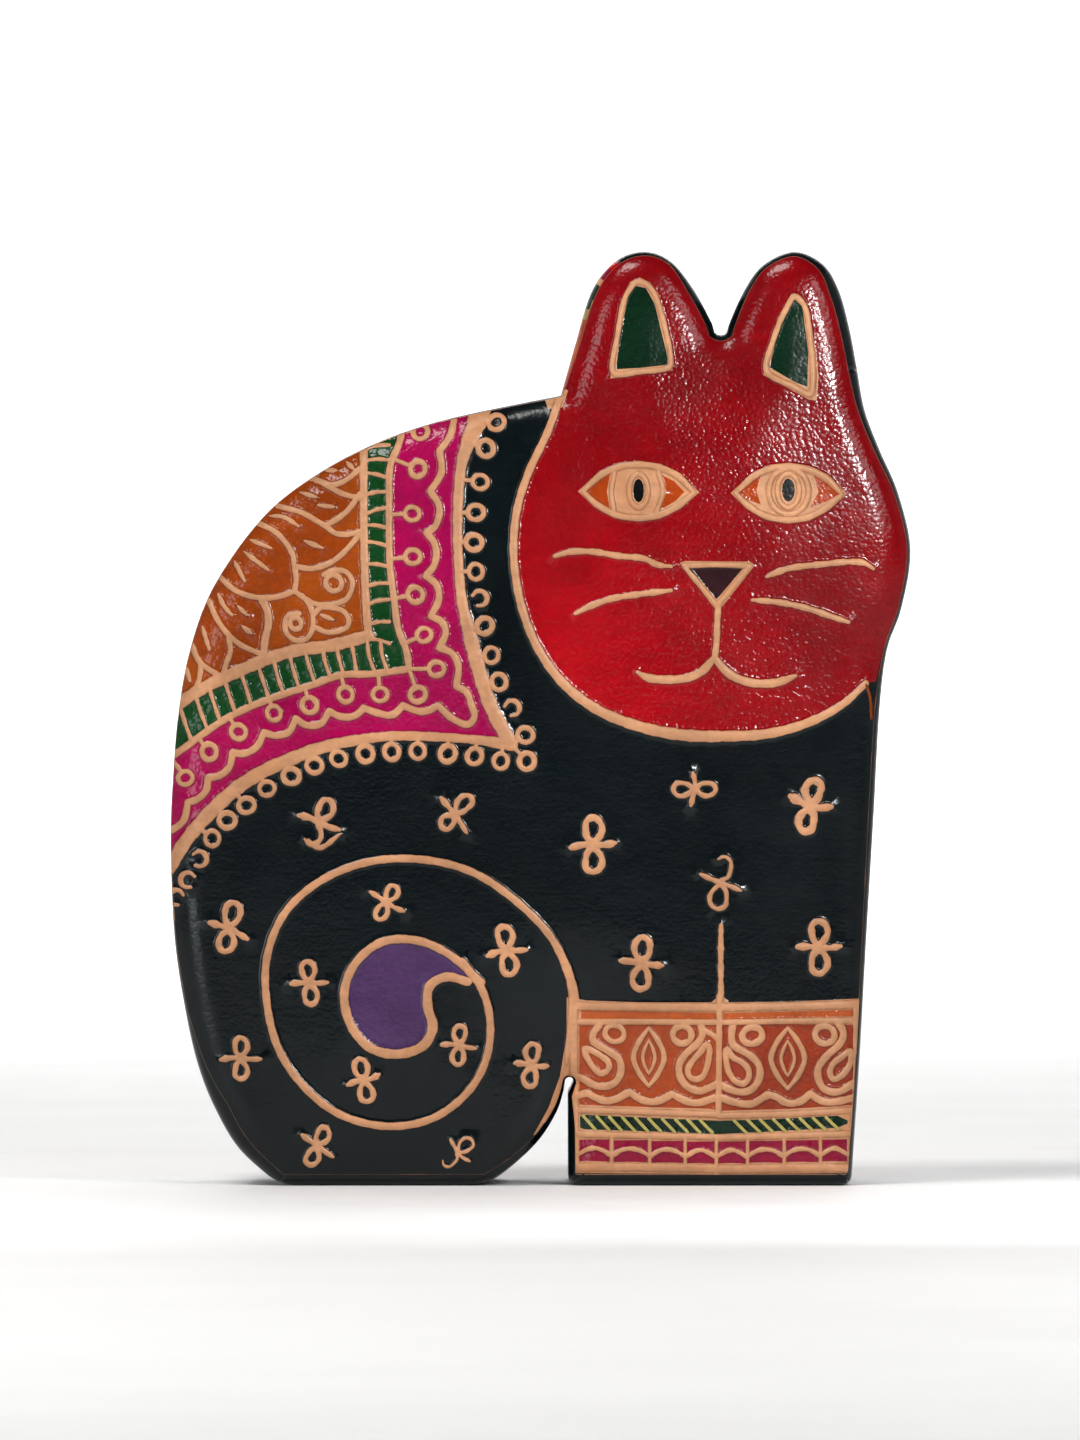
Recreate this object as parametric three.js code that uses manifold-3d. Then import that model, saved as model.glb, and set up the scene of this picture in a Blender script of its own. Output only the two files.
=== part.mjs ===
// A hand-painted leather cat, a hollow coin bank. Two moulded paper half shells, joined by a
// pasted tape, carry a front and a back leather, and seven leather strips cover the edge.
// Millimetres, +Z up, the cat looks towards -Y. The origin is at the centre of the bounding
// box's underside, on the surface that the cat stands on.
import * as THREE from 'three';
import { mergeVertices } from 'three/addons/utils/BufferGeometryUtils.js';
import Module from 'manifold-3d';

const wasm = await Module();
wasm.setup();

// Driving dimensions.
const HALF_DEPTH = 22; // from the mid-plane to the flat of the face
const EDGE_RADIUS = 5; // round of the front and back edges
const LEATHER = 1.2; // thickness of the leather
const GLUE_GAP = 0.3; // clearance between glued layers
const CORE_WALL = 3; // thickness of the moulded paper
const LIP_ANGLE = THREE.MathUtils.degToRad(40); // how far a strip climbs the rounded edge
const SEAM_ANGLE = THREE.MathUtils.degToRad(44); // where the front and back leathers begin
const ROUND_STEPS = 2; // facets on each stretch of the rounded edge
const KNOT_STEPS = 2; // facets between two knots of the silhouette

const TAPE_WIDTH = 16;
const TAPE_THICKNESS = 0.6;

const SLOT_LENGTH = 34; // along X, enough for a 28 mm coin
const SLOT_WIDTH = 4.8;
const SLOT_CENTRE_X = -20;
const SLOT_BOTTOM_Z = 95;
const SLOT_HEIGHT = 40;

const STOPPER_X = 27.2;
const HOLE_RADIUS = 13.5;
const PLUG_RADIUS = 13.2;
const PLUG_TOP = 9.2;
const PLUG_WALL = 1.2;
const FLANGE_RADIUS = 15;
const FLANGE_BOTTOM = 0.2;
const FLANGE_TOP = 1.2;
const GRIP_WIDTH = 3;
const GRIP_TOP = 4.4;
const PLUG_CHAMFER = 0.8;
const HOLE_CUT_HEIGHT = 24; // the hole is cut through everything within half of this
const ROUND_SEGMENTS = 32;
const WELD = 1e-4; // vertices closer than this are one

// The silhouette seen from the front: [x, z] knots of smooth runs, clockwise from the left
// end of the haunch's base.
const BACK_KNOTS = [
  [-42, 0], [-48.3, 5.6], [-52.2, 12], [-55, 19], [-57.1, 28], [-58.9, 40], [-59.5, 55],
  [-59.1, 66], [-58.2, 76.3], [-56.4, 86], [-52.9, 95.6], [-46.4, 105.3], [-39.7, 111.7],
  [-29, 118.1], [-16.2, 122.8], [3.2, 126.9],
];
const LEFT_EAR_KNOTS = [
  [3.2, 126.9], [5.3, 134.3], [8.2, 143.7], [12.2, 148.6], [16.8, 150], [21, 148.4],
  [24.7, 143.8], [27.6, 138.4],
];
const LEFT_EAR_TIP_KNOT = 3;
const CROWN_DIP = { x: 28.95, z: 138, radius: 1.4, from: 205, to: 335 };
const RIGHT_SIDE_KNOTS = [
  [30.3, 138.4], [32.7, 143.8], [35.8, 147.9], [40.8, 150], [45.4, 148], [48, 143.7],
  [49.7, 137.5], [50.9, 131.1], [52.1, 124.6], [54.5, 118.2], [57.5, 111.2], [59.5, 102],
  [58, 92.6], [55.7, 86], [54.5, 76.3], [53.6, 60], [52.4, 40], [51.3, 21], [49.9, 0],
];
const CROWN_END_KNOT = 7;
const LEG_LEFT = 4.4;
const NOTCH_TOP = { x: 4.6, z: 16.6, radius: 0.7, from: -5, to: 165 };
const HAUNCH_FRONT_KNOTS = [[3.7, 15.2], [2.6, 11.8], [-0.2, 7.3], [-4.4, 3.2], [-8.6, 0]];

function smoothRun(knots) {
  const curve = new THREE.SplineCurve(knots.map(([x, z]) => new THREE.Vector2(x, z)));
  return curve.getPoints((knots.length - 1) * KNOT_STEPS);
}

// Points on the round bottom of a dip, in the silhouette's order. Angles are in degrees.
function roundCorner({ x, z, radius, from, to }, steps) {
  const points = [];
  for (let step = 0; step <= steps; step += 1) {
    const angle = THREE.MathUtils.degToRad(from + ((to - from) * step) / steps);
    points.push(new THREE.Vector2(x + radius * Math.cos(angle), z + radius * Math.sin(angle)));
  }
  return points;
}

// The silhouette's points, and the index at which each edge strip starts.
function traceSilhouette() {
  const back = smoothRun(BACK_KNOTS);
  const leftEar = smoothRun(LEFT_EAR_KNOTS).slice(1);
  const crownDip = roundCorner(CROWN_DIP, 3).slice(1, -1);
  const rightSide = smoothRun(RIGHT_SIDE_KNOTS);
  const notchTop = roundCorner(NOTCH_TOP, 5);
  const haunchFront = smoothRun(HAUNCH_FRONT_KNOTS);
  const legCorner = new THREE.Vector2(LEG_LEFT, 0);
  const points = [...back, ...leftEar, ...crownDip, ...rightSide];
  const neck = back.length - 1;
  const earTip = neck + LEFT_EAR_TIP_KNOT * KNOT_STEPS;
  const crownEnd = points.length - rightSide.length + CROWN_END_KNOT * KNOT_STEPS;
  const legRight = points.length - 1;
  points.push(legCorner);
  const legLeft = points.length - 1;
  points.push(...notchTop, ...haunchFront);
  const haunchRight = points.length - 1;
  const marks = { haunchLeft: 0, neck, earTip, crownEnd, legRight, legLeft, haunchRight };
  return { points, marks };
}

// For each point, the step that moves it one unit inside, parallel to both its edges.
function inwardSteps(points) {
  const count = points.length;
  return points.map((point, index) => {
    const before = point.clone().sub(points[(index + count - 1) % count]).normalize();
    const after = points[(index + 1) % count].clone().sub(point).normalize();
    const normalBefore = new THREE.Vector2(before.y, -before.x);
    const normalAfter = new THREE.Vector2(after.y, -after.x);
    const step = normalBefore.clone().add(normalAfter).normalize();
    return step.divideScalar(step.dot(normalAfter));
  });
}

const { points: OUTLINE, marks: MARKS } = traceSilhouette();
const INWARD = inwardSteps(OUTLINE);

// A place on the rounded edge: how far inside the silhouette and how far from the mid-plane.
// The angle is 0 on the side and a right angle on the flat, depth is below the outer skin.
function edgePlace(angle, depth) {
  const radius = EDGE_RADIUS - depth;
  return {
    inset: depth + radius * (1 - Math.cos(angle)),
    out: HALF_DEPTH - EDGE_RADIUS + radius * Math.sin(angle),
  };
}

function edgeArc(fromAngle, toAngle, depth) {
  const places = [];
  for (let step = 0; step <= ROUND_STEPS; step += 1) {
    places.push(edgePlace(fromAngle + ((toAngle - fromAngle) * step) / ROUND_STEPS, depth));
  }
  return places;
}

// The silhouette drawn inset by a place's inset, at that place's distance from the mid-plane.
function ringAt({ inset, out }, side) {
  return OUTLINE.map((point, index) => {
    const moved = point.clone().addScaledVector(INWARD[index], inset);
    return new THREE.Vector3(moved.x, side * out, moved.y);
  });
}

function joinRings(triangles, first, second, count, closed) {
  const last = closed ? count : count - 1;
  for (let index = 0; index < last; index += 1) {
    const next = (index + 1) % count;
    triangles.push([first + index, first + next, second + next]);
    triangles.push([first + index, second + next, second + index]);
  }
}

// Fills a flat closed contour with triangles that all turn the way the contour does.
function fillContour(contour) {
  const turnOf = (corners) => Math.sign(THREE.ShapeUtils.area(corners.map((k) => contour[k])));
  const wanted = Math.sign(THREE.ShapeUtils.area(contour));
  const filled = THREE.ShapeUtils.triangulateShape([...contour], []);
  return filled.map((corners) => (turnOf(corners) === wanted ? corners : corners.reverse()));
}

function buildGeometry(vertices, triangles) {
  const geometry = new THREE.BufferGeometry();
  const positions = vertices.flatMap((vertex) => [vertex.x, vertex.y, vertex.z]);
  geometry.setAttribute('position', new THREE.Float32BufferAttribute(positions, 3));
  geometry.setIndex(triangles.flat());
  return geometry;
}

// Six times the volume inside a geometry, negative where its faces point inwards.
function signedVolume(geometry) {
  const position = geometry.getAttribute('position');
  const corners = [0, 1, 2].map(() => new THREE.Vector3());
  let volume = 0;
  for (let start = 0; start < geometry.index.count; start += 3) {
    corners.forEach((corner, k) => {
      corner.fromBufferAttribute(position, geometry.index.getX(start + k));
    });
    volume += corners[0].dot(corners[1].clone().cross(corners[2]));
  }
  return volume;
}

function facingOut(geometry) {
  if (signedVolume(geometry) > 0) return geometry;
  const order = Array.from(geometry.index.array);
  for (let start = 0; start < order.length; start += 3) {
    [order[start + 1], order[start + 2]] = [order[start + 2], order[start + 1]];
  }
  geometry.setIndex(order);
  return geometry;
}

// A tray: rings from the rim of the outer flat, round the edge, and back along the inside.
function trayGeometry(places, side) {
  const rings = places.map((place) => ringAt(place, side));
  const count = OUTLINE.length;
  const triangles = [];
  for (let ring = 0; ring + 1 < rings.length; ring += 1) {
    joinRings(triangles, ring * count, (ring + 1) * count, count, true);
  }
  const fillRing = (ring) => fillContour(ring.map((point) => new THREE.Vector2(point.x, point.z)));
  const last = (rings.length - 1) * count;
  fillRing(rings[0]).forEach((corners) => triangles.push(corners.reverse()));
  fillRing(rings.at(-1)).forEach((corners) => triangles.push(corners.map((k) => last + k)));
  return facingOut(buildGeometry(rings.flat(), triangles));
}

function leatherGeometry(side) {
  const outer = edgeArc(Math.PI / 2, SEAM_ANGLE, 0);
  const inner = edgeArc(SEAM_ANGLE, Math.PI / 2, LEATHER);
  return trayGeometry([...outer, ...inner], side);
}

function coreGeometry(side) {
  const skin = LEATHER + GLUE_GAP;
  const inside = skin + CORE_WALL;
  const seam = GLUE_GAP / 2;
  return trayGeometry([
    ...edgeArc(Math.PI / 2, 0, skin),
    { inset: skin, out: seam },
    { inset: inside, out: seam },
    { inset: inside, out: HALF_DEPTH - inside },
  ], side);
}

// The tape pasted over the joint of the two half shells, all round the inside.
function tapeGeometry() {
  const near = LEATHER + CORE_WALL + 2 * GLUE_GAP;
  const far = near + TAPE_THICKNESS;
  const half = TAPE_WIDTH / 2;
  const places = [[near, -half], [near, half], [far, half], [far, -half]];
  const rings = places.map(([inset, out]) => ringAt({ inset, out }, 1));
  const count = OUTLINE.length;
  const triangles = [];
  rings.forEach((ring, index) => {
    joinRings(triangles, index * count, ((index + 1) % rings.length) * count, count, true);
  });
  return facingOut(buildGeometry(rings.flat(), triangles));
}

// Cross-section of an edge strip: across the side, with a lip on each rounded edge.
function stripSection() {
  const outerLip = edgeArc(LIP_ANGLE, 0, 0);
  const innerLip = edgeArc(0, LIP_ANGLE, LEATHER);
  const towardsBack = ({ inset, out }) => ({ inset, out: -out });
  return [
    ...outerLip,
    ...outerLip.map(towardsBack).reverse(),
    ...innerLip.map(towardsBack).reverse(),
    ...innerLip,
  ];
}

// The silhouette's indices from one mark to the next, going on past the last point.
function outlineStretch(from, to) {
  const count = OUTLINE.length;
  const length = (to - from + count) % count;
  return Array.from({ length: length + 1 }, (_, step) => (from + step) % count);
}

// A stretch's points, with its two ends drawn back to leave a gap to the next strip.
function trimmedStretch(indices) {
  const points = indices.map((index) => OUTLINE[index].clone());
  const drawBack = (end, neighbour) => {
    const away = neighbour.clone().sub(end).normalize();
    end.addScaledVector(away, GLUE_GAP);
  };
  drawBack(points[0], points[1]);
  drawBack(points.at(-1), points.at(-2));
  return points;
}

function stripGeometry(from, to) {
  const section = stripSection();
  const indices = outlineStretch(from, to);
  const points = trimmedStretch(indices);
  const vertices = [];
  for (const { inset, out } of section) {
    points.forEach((point, step) => {
      const moved = point.clone().addScaledVector(INWARD[indices[step]], inset);
      vertices.push(new THREE.Vector3(moved.x, out, moved.y));
    });
  }
  const count = points.length;
  const triangles = [];
  section.forEach((_, row) => {
    const nextRow = (row + 1) % section.length;
    joinRings(triangles, row * count, nextRow * count, count, false);
  });
  closeStripEnds(triangles, section, count);
  return facingOut(buildGeometry(vertices, triangles));
}

function closeStripEnds(triangles, section, count) {
  const contour = section.map(({ inset, out }) => new THREE.Vector2(inset, out));
  for (const corners of fillContour(contour)) {
    triangles.push(corners.map((row) => row * count));
    triangles.push(corners.map((row) => row * count + count - 1).reverse());
  }
}

function toSolid(geometry) {
  const bare = geometry.clone();
  bare.deleteAttribute('normal');
  bare.deleteAttribute('uv');
  const merged = mergeVertices(bare, WELD);
  return new wasm.Manifold(new wasm.Mesh({
    numProp: 3,
    vertProperties: Float32Array.from(merged.getAttribute('position').array),
    triVerts: Uint32Array.from(merged.index.array),
  }));
}

function fromSolid(solid) {
  const mesh = solid.getMesh();
  const geometry = new THREE.BufferGeometry();
  geometry.setAttribute('position', new THREE.BufferAttribute(mesh.vertProperties, 3));
  geometry.setIndex(Array.from(mesh.triVerts));
  return geometry;
}

// The upright prism with round ends that the coin slot is cut with.
function slotCutter() {
  const radius = SLOT_WIDTH / 2;
  const straight = SLOT_LENGTH / 2 - radius;
  const shape = new THREE.Shape();
  shape.absarc(straight, 0, radius, -Math.PI / 2, Math.PI / 2);
  shape.absarc(-straight, 0, radius, Math.PI / 2, (3 * Math.PI) / 2);
  const prism = new THREE.ExtrudeGeometry(shape, {
    depth: SLOT_HEIGHT,
    bevelEnabled: false,
    curveSegments: 6,
  });
  prism.translate(SLOT_CENTRE_X, 0, SLOT_BOTTOM_Z);
  return toSolid(prism);
}

function holeCutter(radius) {
  const cylinder = new THREE.CylinderGeometry(radius, radius, HOLE_CUT_HEIGHT, ROUND_SEGMENTS);
  cylinder.rotateX(Math.PI / 2);
  cylinder.translate(STOPPER_X, 0, 0);
  return toSolid(cylinder);
}

// The stopper: a cup that is open below, with a flange and a grip bar across its mouth.
function stopperGeometry() {
  const bore = PLUG_RADIUS - PLUG_WALL;
  const profile = [
    [0, PLUG_TOP - PLUG_WALL], [bore, PLUG_TOP - PLUG_WALL], [bore, FLANGE_BOTTOM],
    [FLANGE_RADIUS, FLANGE_BOTTOM], [FLANGE_RADIUS, FLANGE_TOP], [PLUG_RADIUS, FLANGE_TOP],
    [PLUG_RADIUS, PLUG_TOP - PLUG_CHAMFER], [PLUG_RADIUS - PLUG_CHAMFER, PLUG_TOP],
    [0, PLUG_TOP],
  ].map(([radius, height]) => new THREE.Vector2(radius, height));
  const cup = new THREE.LatheGeometry(profile, ROUND_SEGMENTS);
  cup.rotateX(Math.PI / 2);
  const overlap = 0.4;
  const gripBottom = FLANGE_BOTTOM + overlap;
  const grip = new THREE.BoxGeometry(2 * (bore + overlap), GRIP_WIDTH, GRIP_TOP - gripBottom);
  grip.translate(0, 0, (GRIP_TOP + gripBottom) / 2);
  return fromSolid(toSolid(cup).add(toSolid(grip)));
}

function paint(colour, roughness) {
  return new THREE.MeshStandardMaterial({ color: colour, roughness, metalness: 0 });
}

const MATERIALS = {
  face: paint(0xa01020, 0.45),
  black: paint(0x182226, 0.4),
  patterned: paint(0xb4522a, 0.5),
  paper: paint(0xb9ab93, 0.95),
  tape: paint(0xcfc4ad, 0.95),
  stopper: paint(0x1b1b1d, 0.55),
};

const cat = new THREE.Group();

function addPiece(name, geometry, material) {
  const mesh = new THREE.Mesh(geometry, material);
  mesh.name = name;
  cat.add(mesh);
  return mesh;
}

const SLOT = slotCutter();
const HOLE = holeCutter(HOLE_RADIUS);
const FLANGE_HOLE = holeCutter(FLANGE_RADIUS + GLUE_GAP);

function cutFrom(geometry, ...cutters) {
  return fromSolid(cutters.reduce((solid, cutter) => solid.subtract(cutter), toSolid(geometry)));
}

function addCoreAndCovers() {
  addPiece('core_front', cutFrom(coreGeometry(-1), SLOT, HOLE), MATERIALS.paper);
  addPiece('core_back', cutFrom(coreGeometry(1), SLOT, HOLE), MATERIALS.paper);
  addPiece('seam_tape', cutFrom(tapeGeometry(), SLOT, HOLE), MATERIALS.tape);
  addPiece('leather_front', leatherGeometry(-1), MATERIALS.face);
  addPiece('leather_back', leatherGeometry(1), MATERIALS.black);
}

function addEdgeStrips() {
  const { haunchLeft, neck, earTip, crownEnd, legRight, legLeft, haunchRight } = MARKS;
  const spine = cutFrom(stripGeometry(haunchLeft, neck), SLOT);
  const legBase = cutFrom(stripGeometry(legRight, legLeft), FLANGE_HOLE);
  addPiece('strip_spine', spine, MATERIALS.black);
  addPiece('strip_left_ear', stripGeometry(neck, earTip), MATERIALS.patterned);
  addPiece('strip_crown', stripGeometry(earTip, crownEnd), MATERIALS.black);
  addPiece('strip_chest', stripGeometry(crownEnd, legRight), MATERIALS.black);
  addPiece('base_leg', legBase, MATERIALS.black);
  addPiece('strip_notch', stripGeometry(legLeft, haunchRight), MATERIALS.black);
  addPiece('base_haunch', stripGeometry(haunchRight, haunchLeft), MATERIALS.black);
}

function addStopper() {
  addPiece('stopper', stopperGeometry(), MATERIALS.stopper).position.x = STOPPER_X;
}

addCoreAndCovers();
addEdgeStrips();
addStopper();

export default cat;
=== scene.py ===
"""Final looks of a hand-painted leather cat coin bank.

The frame's metres are used for every object. Shapes are worked out in millimetres, seen from
the front: x to the right and z up, on the flat of the cat's face.
"""
import math

import bmesh
import bpy
import numpy as np
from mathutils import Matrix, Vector
from mathutils.geometry import delaunay_2d_cdt


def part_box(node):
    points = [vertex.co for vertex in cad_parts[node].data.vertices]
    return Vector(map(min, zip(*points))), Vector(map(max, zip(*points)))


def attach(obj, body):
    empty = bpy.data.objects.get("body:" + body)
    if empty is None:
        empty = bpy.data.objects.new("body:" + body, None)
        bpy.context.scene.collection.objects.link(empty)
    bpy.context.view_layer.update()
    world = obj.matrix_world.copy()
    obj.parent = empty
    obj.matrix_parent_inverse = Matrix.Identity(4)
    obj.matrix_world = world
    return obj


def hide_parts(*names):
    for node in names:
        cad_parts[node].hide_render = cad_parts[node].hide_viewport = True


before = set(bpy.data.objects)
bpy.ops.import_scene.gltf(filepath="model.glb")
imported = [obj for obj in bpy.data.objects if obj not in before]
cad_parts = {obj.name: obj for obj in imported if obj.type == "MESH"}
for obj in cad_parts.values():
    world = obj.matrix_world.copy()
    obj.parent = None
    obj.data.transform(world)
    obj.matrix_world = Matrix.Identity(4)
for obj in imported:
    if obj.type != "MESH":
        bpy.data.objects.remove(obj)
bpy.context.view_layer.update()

MM = 0.001
HALF_DEPTH = -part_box("leather_front")[0][1] / MM
STOPPER_LOW, STOPPER_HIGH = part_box("stopper")
STOPPER_X = (STOPPER_LOW[0] + STOPPER_HIGH[0]) / 2 / MM

# ---------------------------------------------------------------- dimensions, millimetres
EDGE_RADIUS = 5.0
HIDE = 0.35  # how far the front and back leathers stand proud of the strips
SWELL = 1.2  # how much fuller the middle of the body is than its rim
SWELL_REACH = 27  # how far inside the rim the body is at its fullest
FULL = 0.15  # how far the middle of the body stands beyond the solids
RISE = EDGE_RADIUS + FULL - SWELL  # how far the leathers' rounded edge rises
STRIP_THICK = 1.1
STRIP_GAP = 0.04  # how much shorter a strip is at each end than its place
RELIEF = 0.34  # height of the raised lines
STEP = 0.5  # distance between stations on a long raised line
FINE_STEP = 0.34
LONG_LINE = 14  # a line longer than this takes the coarse step
TAPER_REACH = 2.2  # how far a line's tapering end reaches
STALK = 0.34  # half the width of the short line that a ring hangs on
BLANKET_RING, FRINGE_RING = (1.6, 0.75), (1.65, 0.8)  # radii of ring and hole
GRID = 1.5  # spacing of the plain leather's vertices
OUTLINE_STEPS = 6  # points between two knots of the silhouette
CURVE_STEPS = 12  # points between two points of a drawn line
LINE_ROWS = (0, 0.5, -0.5, 1.4, -1.4, 1.9, -1.9)  # rows of vertices along a line, in half-widths
RIM_ROWS = (0.5, 1.1, 1.9, 2.8, 3.9, 5.0)  # rows of vertices along the rim, by their inset
LINE_GAP, RIM_GAP, GRID_GAP = 0.13, 0.45, 0.62  # least distance to a vertex that is already there
WALL = ((0.11, 0.14), (0.06, 0.42), (-0.6, 0.75))  # the hide's cut edge: (outwards, down)
LINING_DEPTH = 0.9
# The cut edge gets some of the bare hide's colour; this lighter edge is partly the bare hide and
# partly a painted highlight along the rim.
EDGE_BARE_AND_HIGHLIGHT = 0.12  # how much of the bare hide's colour the cut edge has
FAR = 9.0  # nearness, in half-widths, of a place that has no line near it
SLOT_X, SLOT_REACH, SLOT_HALF = -20, 14.6, 2.35  # the coin slot's middle, straight half, radius
SLOT_HEIGHTS, HOLE_HEIGHTS = (100, 140), (-4, 8)  # between which the slot and hole are cut
HOLE_RADIUS = 15.25

# ---------------------------------------------------------------- silhouette
HAUNCH_LEFT, HAUNCH_RIGHT, LEG_LEFT, LEG_RIGHT = -42, -8.6, 4.4, 49.9
# A third number is how much of the edge strip shows there beside the front leather.
BACK_KNOTS = [
    (HAUNCH_LEFT, 0, 1.8), (-48.3, 5.6, 2.2), (-52.2, 12, 2.3), (-55, 19, 1.3), (-57.1, 28, 0.5),
    (-58.9, 40), (-59.5, 55, 0.2), (-59.1, 66), (-58.2, 76.3), (-56.4, 86, 0.2), (-52.9, 95.6),
    (-46.4, 105.3, 0.2), (-39.7, 111.7), (-29, 118.1), (-16.2, 122.8, 0.3), (3.2, 126.9, 0.4),
]
LEFT_EAR_KNOTS = [
    (3.2, 126.9), (5.3, 134.3, 0.8), (8.2, 143.7, 1.0), (12.2, 148.6, 0.9), (16.8, 150, 0.8),
    (21, 148.4, 0.7), (24.7, 143.8, 1.2), (27.6, 138.4),
]
RIGHT_SIDE_KNOTS = [
    (30.3, 138.4), (32.7, 143.8, 0.9), (35.8, 147.9, 0.8), (40.8, 150, 0.9), (45.4, 148, 1.3),
    (48, 143.7, 1.8), (49.7, 137.5), (50.9, 131.1, 1.6), (52.1, 124.6, 1.2), (54.5, 118.2),
    (57.5, 111.2, 0.8), (59.5, 102, 0.7), (58, 92.6), (55.7, 86, 0.6), (54.5, 76.3, 0.9),
    (53.6, 60, 1.0), (52.4, 40, 0.8), (51.3, 21, 0.7), (LEG_RIGHT, 0, 1.8),
]
HAUNCH_FRONT_KNOTS = [
    (3.7, 15.2), (2.6, 11.8, 0.8), (-0.2, 7.3), (-4.4, 3.2, 1.3), (HAUNCH_RIGHT, 0, 1.8),
]
LIP_POINTS = [  # the same for places on the silhouette that are no knots
    (28.95, 136.6, 1.1), (50, 2, 0.8), (LEG_LEFT, 0, 1.8), (LEG_LEFT, 3, 1.3),
    (LEG_LEFT, 9.5, 1.2), (4.6, 17.3, 0.4),
]


def smooth_run(knots, steps):
    """A smooth curve through the knots, the same one that the solids' silhouette follows."""
    knots = [np.array(knot[:2], float) for knot in knots]
    points = []
    for index in range(len(knots) - 1):
        before = knots[max(index - 1, 0)]
        start, end = knots[index], knots[index + 1]
        after = knots[min(index + 2, len(knots) - 1)]
        slope_in, slope_out = (end - before) / 2, (after - start) / 2
        for step in range(steps):
            t = step / steps
            points.append((2 * (start - end) + slope_in + slope_out) * t ** 3
                          + (3 * (end - start) - 2 * slope_in - slope_out) * t ** 2
                          + slope_in * t + start)
    return points + [knots[-1]]


def arc(x, z, radius, first, last, steps):
    """Points on an arc, angles in degrees."""
    angles = np.radians(np.linspace(first, last, steps + 1))
    return [np.array((x + radius * math.cos(a), z + radius * math.sin(a))) for a in angles]


def ease(before, corner, after, reach):
    """Rounds the corner between two runs of points: both runs, and the curve between them."""
    corner = np.array(corner, float)
    clear = reach + 0.4  # nearer points would crowd the curve's ends
    before = [p for p in before if np.linalg.norm(p - corner) > clear]
    after = [p for p in after if np.linalg.norm(p - corner) > clear]
    start, end = (corner + (p - corner) / np.linalg.norm(p - corner) * reach
                  for p in (before[-1], after[0]))
    curve = [(1 - t) ** 2 * start + 2 * t * (1 - t) * corner + t * t * end
             for t in np.linspace(0, 1, 7)]
    return before, curve, after


def silhouette(soft):
    """The closed outline, clockwise from the haunch's left end, and where each strip starts.

    The soft one has rounded corners at the base, as the strips have.
    """
    back = smooth_run(BACK_KNOTS, OUTLINE_STEPS)
    ear = smooth_run(LEFT_EAR_KNOTS, OUTLINE_STEPS)[1:]
    dip = arc(28.95, 138, 1.4, 205, 335, 6)[1:-1]
    right = smooth_run(RIGHT_SIDE_KNOTS, OUTLINE_STEPS)
    leg_base = [np.array((x, 0.0)) for x in np.linspace(LEG_RIGHT, LEG_LEFT, 18)]
    leg_side = [np.array((LEG_LEFT, z)) for z in (0.0, 2.0, 4.5, 7.0, 9.5, 12.0, 14.5)]
    leg_side += arc(4.6, 16.6, 0.7, -5, 165, 8)
    front = leg_side + smooth_run(HAUNCH_FRONT_KNOTS, OUTLINE_STEPS)
    haunch_base = [np.array((x, 0.0)) for x in np.linspace(HAUNCH_RIGHT, HAUNCH_LEFT, 14)]
    wide, tight = (2.6, 1.6) if soft else (0.02, 0.02)
    haunch_base, corner, back = ease(haunch_base, (HAUNCH_LEFT, 0), back, wide)
    right, leg_right, leg_base = ease(right, (LEG_RIGHT, 0), leg_base, tight)
    leg_base, leg_left, front = ease(leg_base, (LEG_LEFT, 0), front, tight)
    front, haunch_right, haunch_base = ease(front, (HAUNCH_RIGHT, 0), haunch_base, wide)
    points = corner[3:] + back
    marks = {"haunch_left": 0, "neck": len(points) - 1}
    marks["ear_tip"] = marks["neck"] + 3 * OUTLINE_STEPS
    points += ear + dip
    marks["crown_end"] = len(points) + 7 * OUTLINE_STEPS
    points += right
    for name, run, after in (("leg_right", leg_right, leg_base), ("leg_left", leg_left, front),
                             ("haunch_right", haunch_right, haunch_base)):
        marks[name] = len(points) + 3
        points += run + after
    return np.array(points + corner[:3]), marks


def inward_steps(points):
    """For each point, the step that moves it 1 mm inside, parallel to both its edges."""
    before = points - np.roll(points, 1, axis=0)
    after = np.roll(points, -1, axis=0) - points
    normals = []
    for edge in (before, after):
        edge = edge / np.linalg.norm(edge, axis=1, keepdims=True)
        normals.append(np.stack((edge[:, 1], -edge[:, 0]), axis=1))
    step = normals[0] + normals[1]
    step /= np.linalg.norm(step, axis=1, keepdims=True)
    return step / np.sum(step * normals[1], axis=1, keepdims=True)


OUTLINE, _ = silhouette(False)
INWARD = inward_steps(OUTLINE)
SOFT, MARKS = silhouette(True)
SOFT_INWARD = inward_steps(SOFT)


def lip_widths(side):
    """The strip's visible width at each point of the outline; the back is more even."""
    arc_length = np.concatenate(([0], np.cumsum(np.linalg.norm(
        np.diff(np.vstack((OUTLINE, OUTLINE[:1])), axis=0), axis=1))))
    places, widths = [], []
    runs = (BACK_KNOTS, LEFT_EAR_KNOTS, RIGHT_SIDE_KNOTS, HAUNCH_FRONT_KNOTS, LIP_POINTS)
    for x, z, *lip in (point for run in runs for point in run):
        if not lip:
            continue
        nearest = int(np.argmin(np.linalg.norm(OUTLINE - np.array((x, z)), axis=1)))
        places.append(arc_length[nearest])
        widths.append(lip[0] if side < 0 else 0.5 + 0.5 * lip[0])
    order = np.argsort(places)
    return np.interp(arc_length[:-1], np.array(places)[order], np.array(widths)[order],
                     period=arc_length[-1])


# ---------------------------------------------------------------- the leather's surface
def smoothstep(low, high, value):
    t = np.clip((value - low) / (high - low), 0, 1)
    return t * t * (3 - 2 * t)


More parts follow.
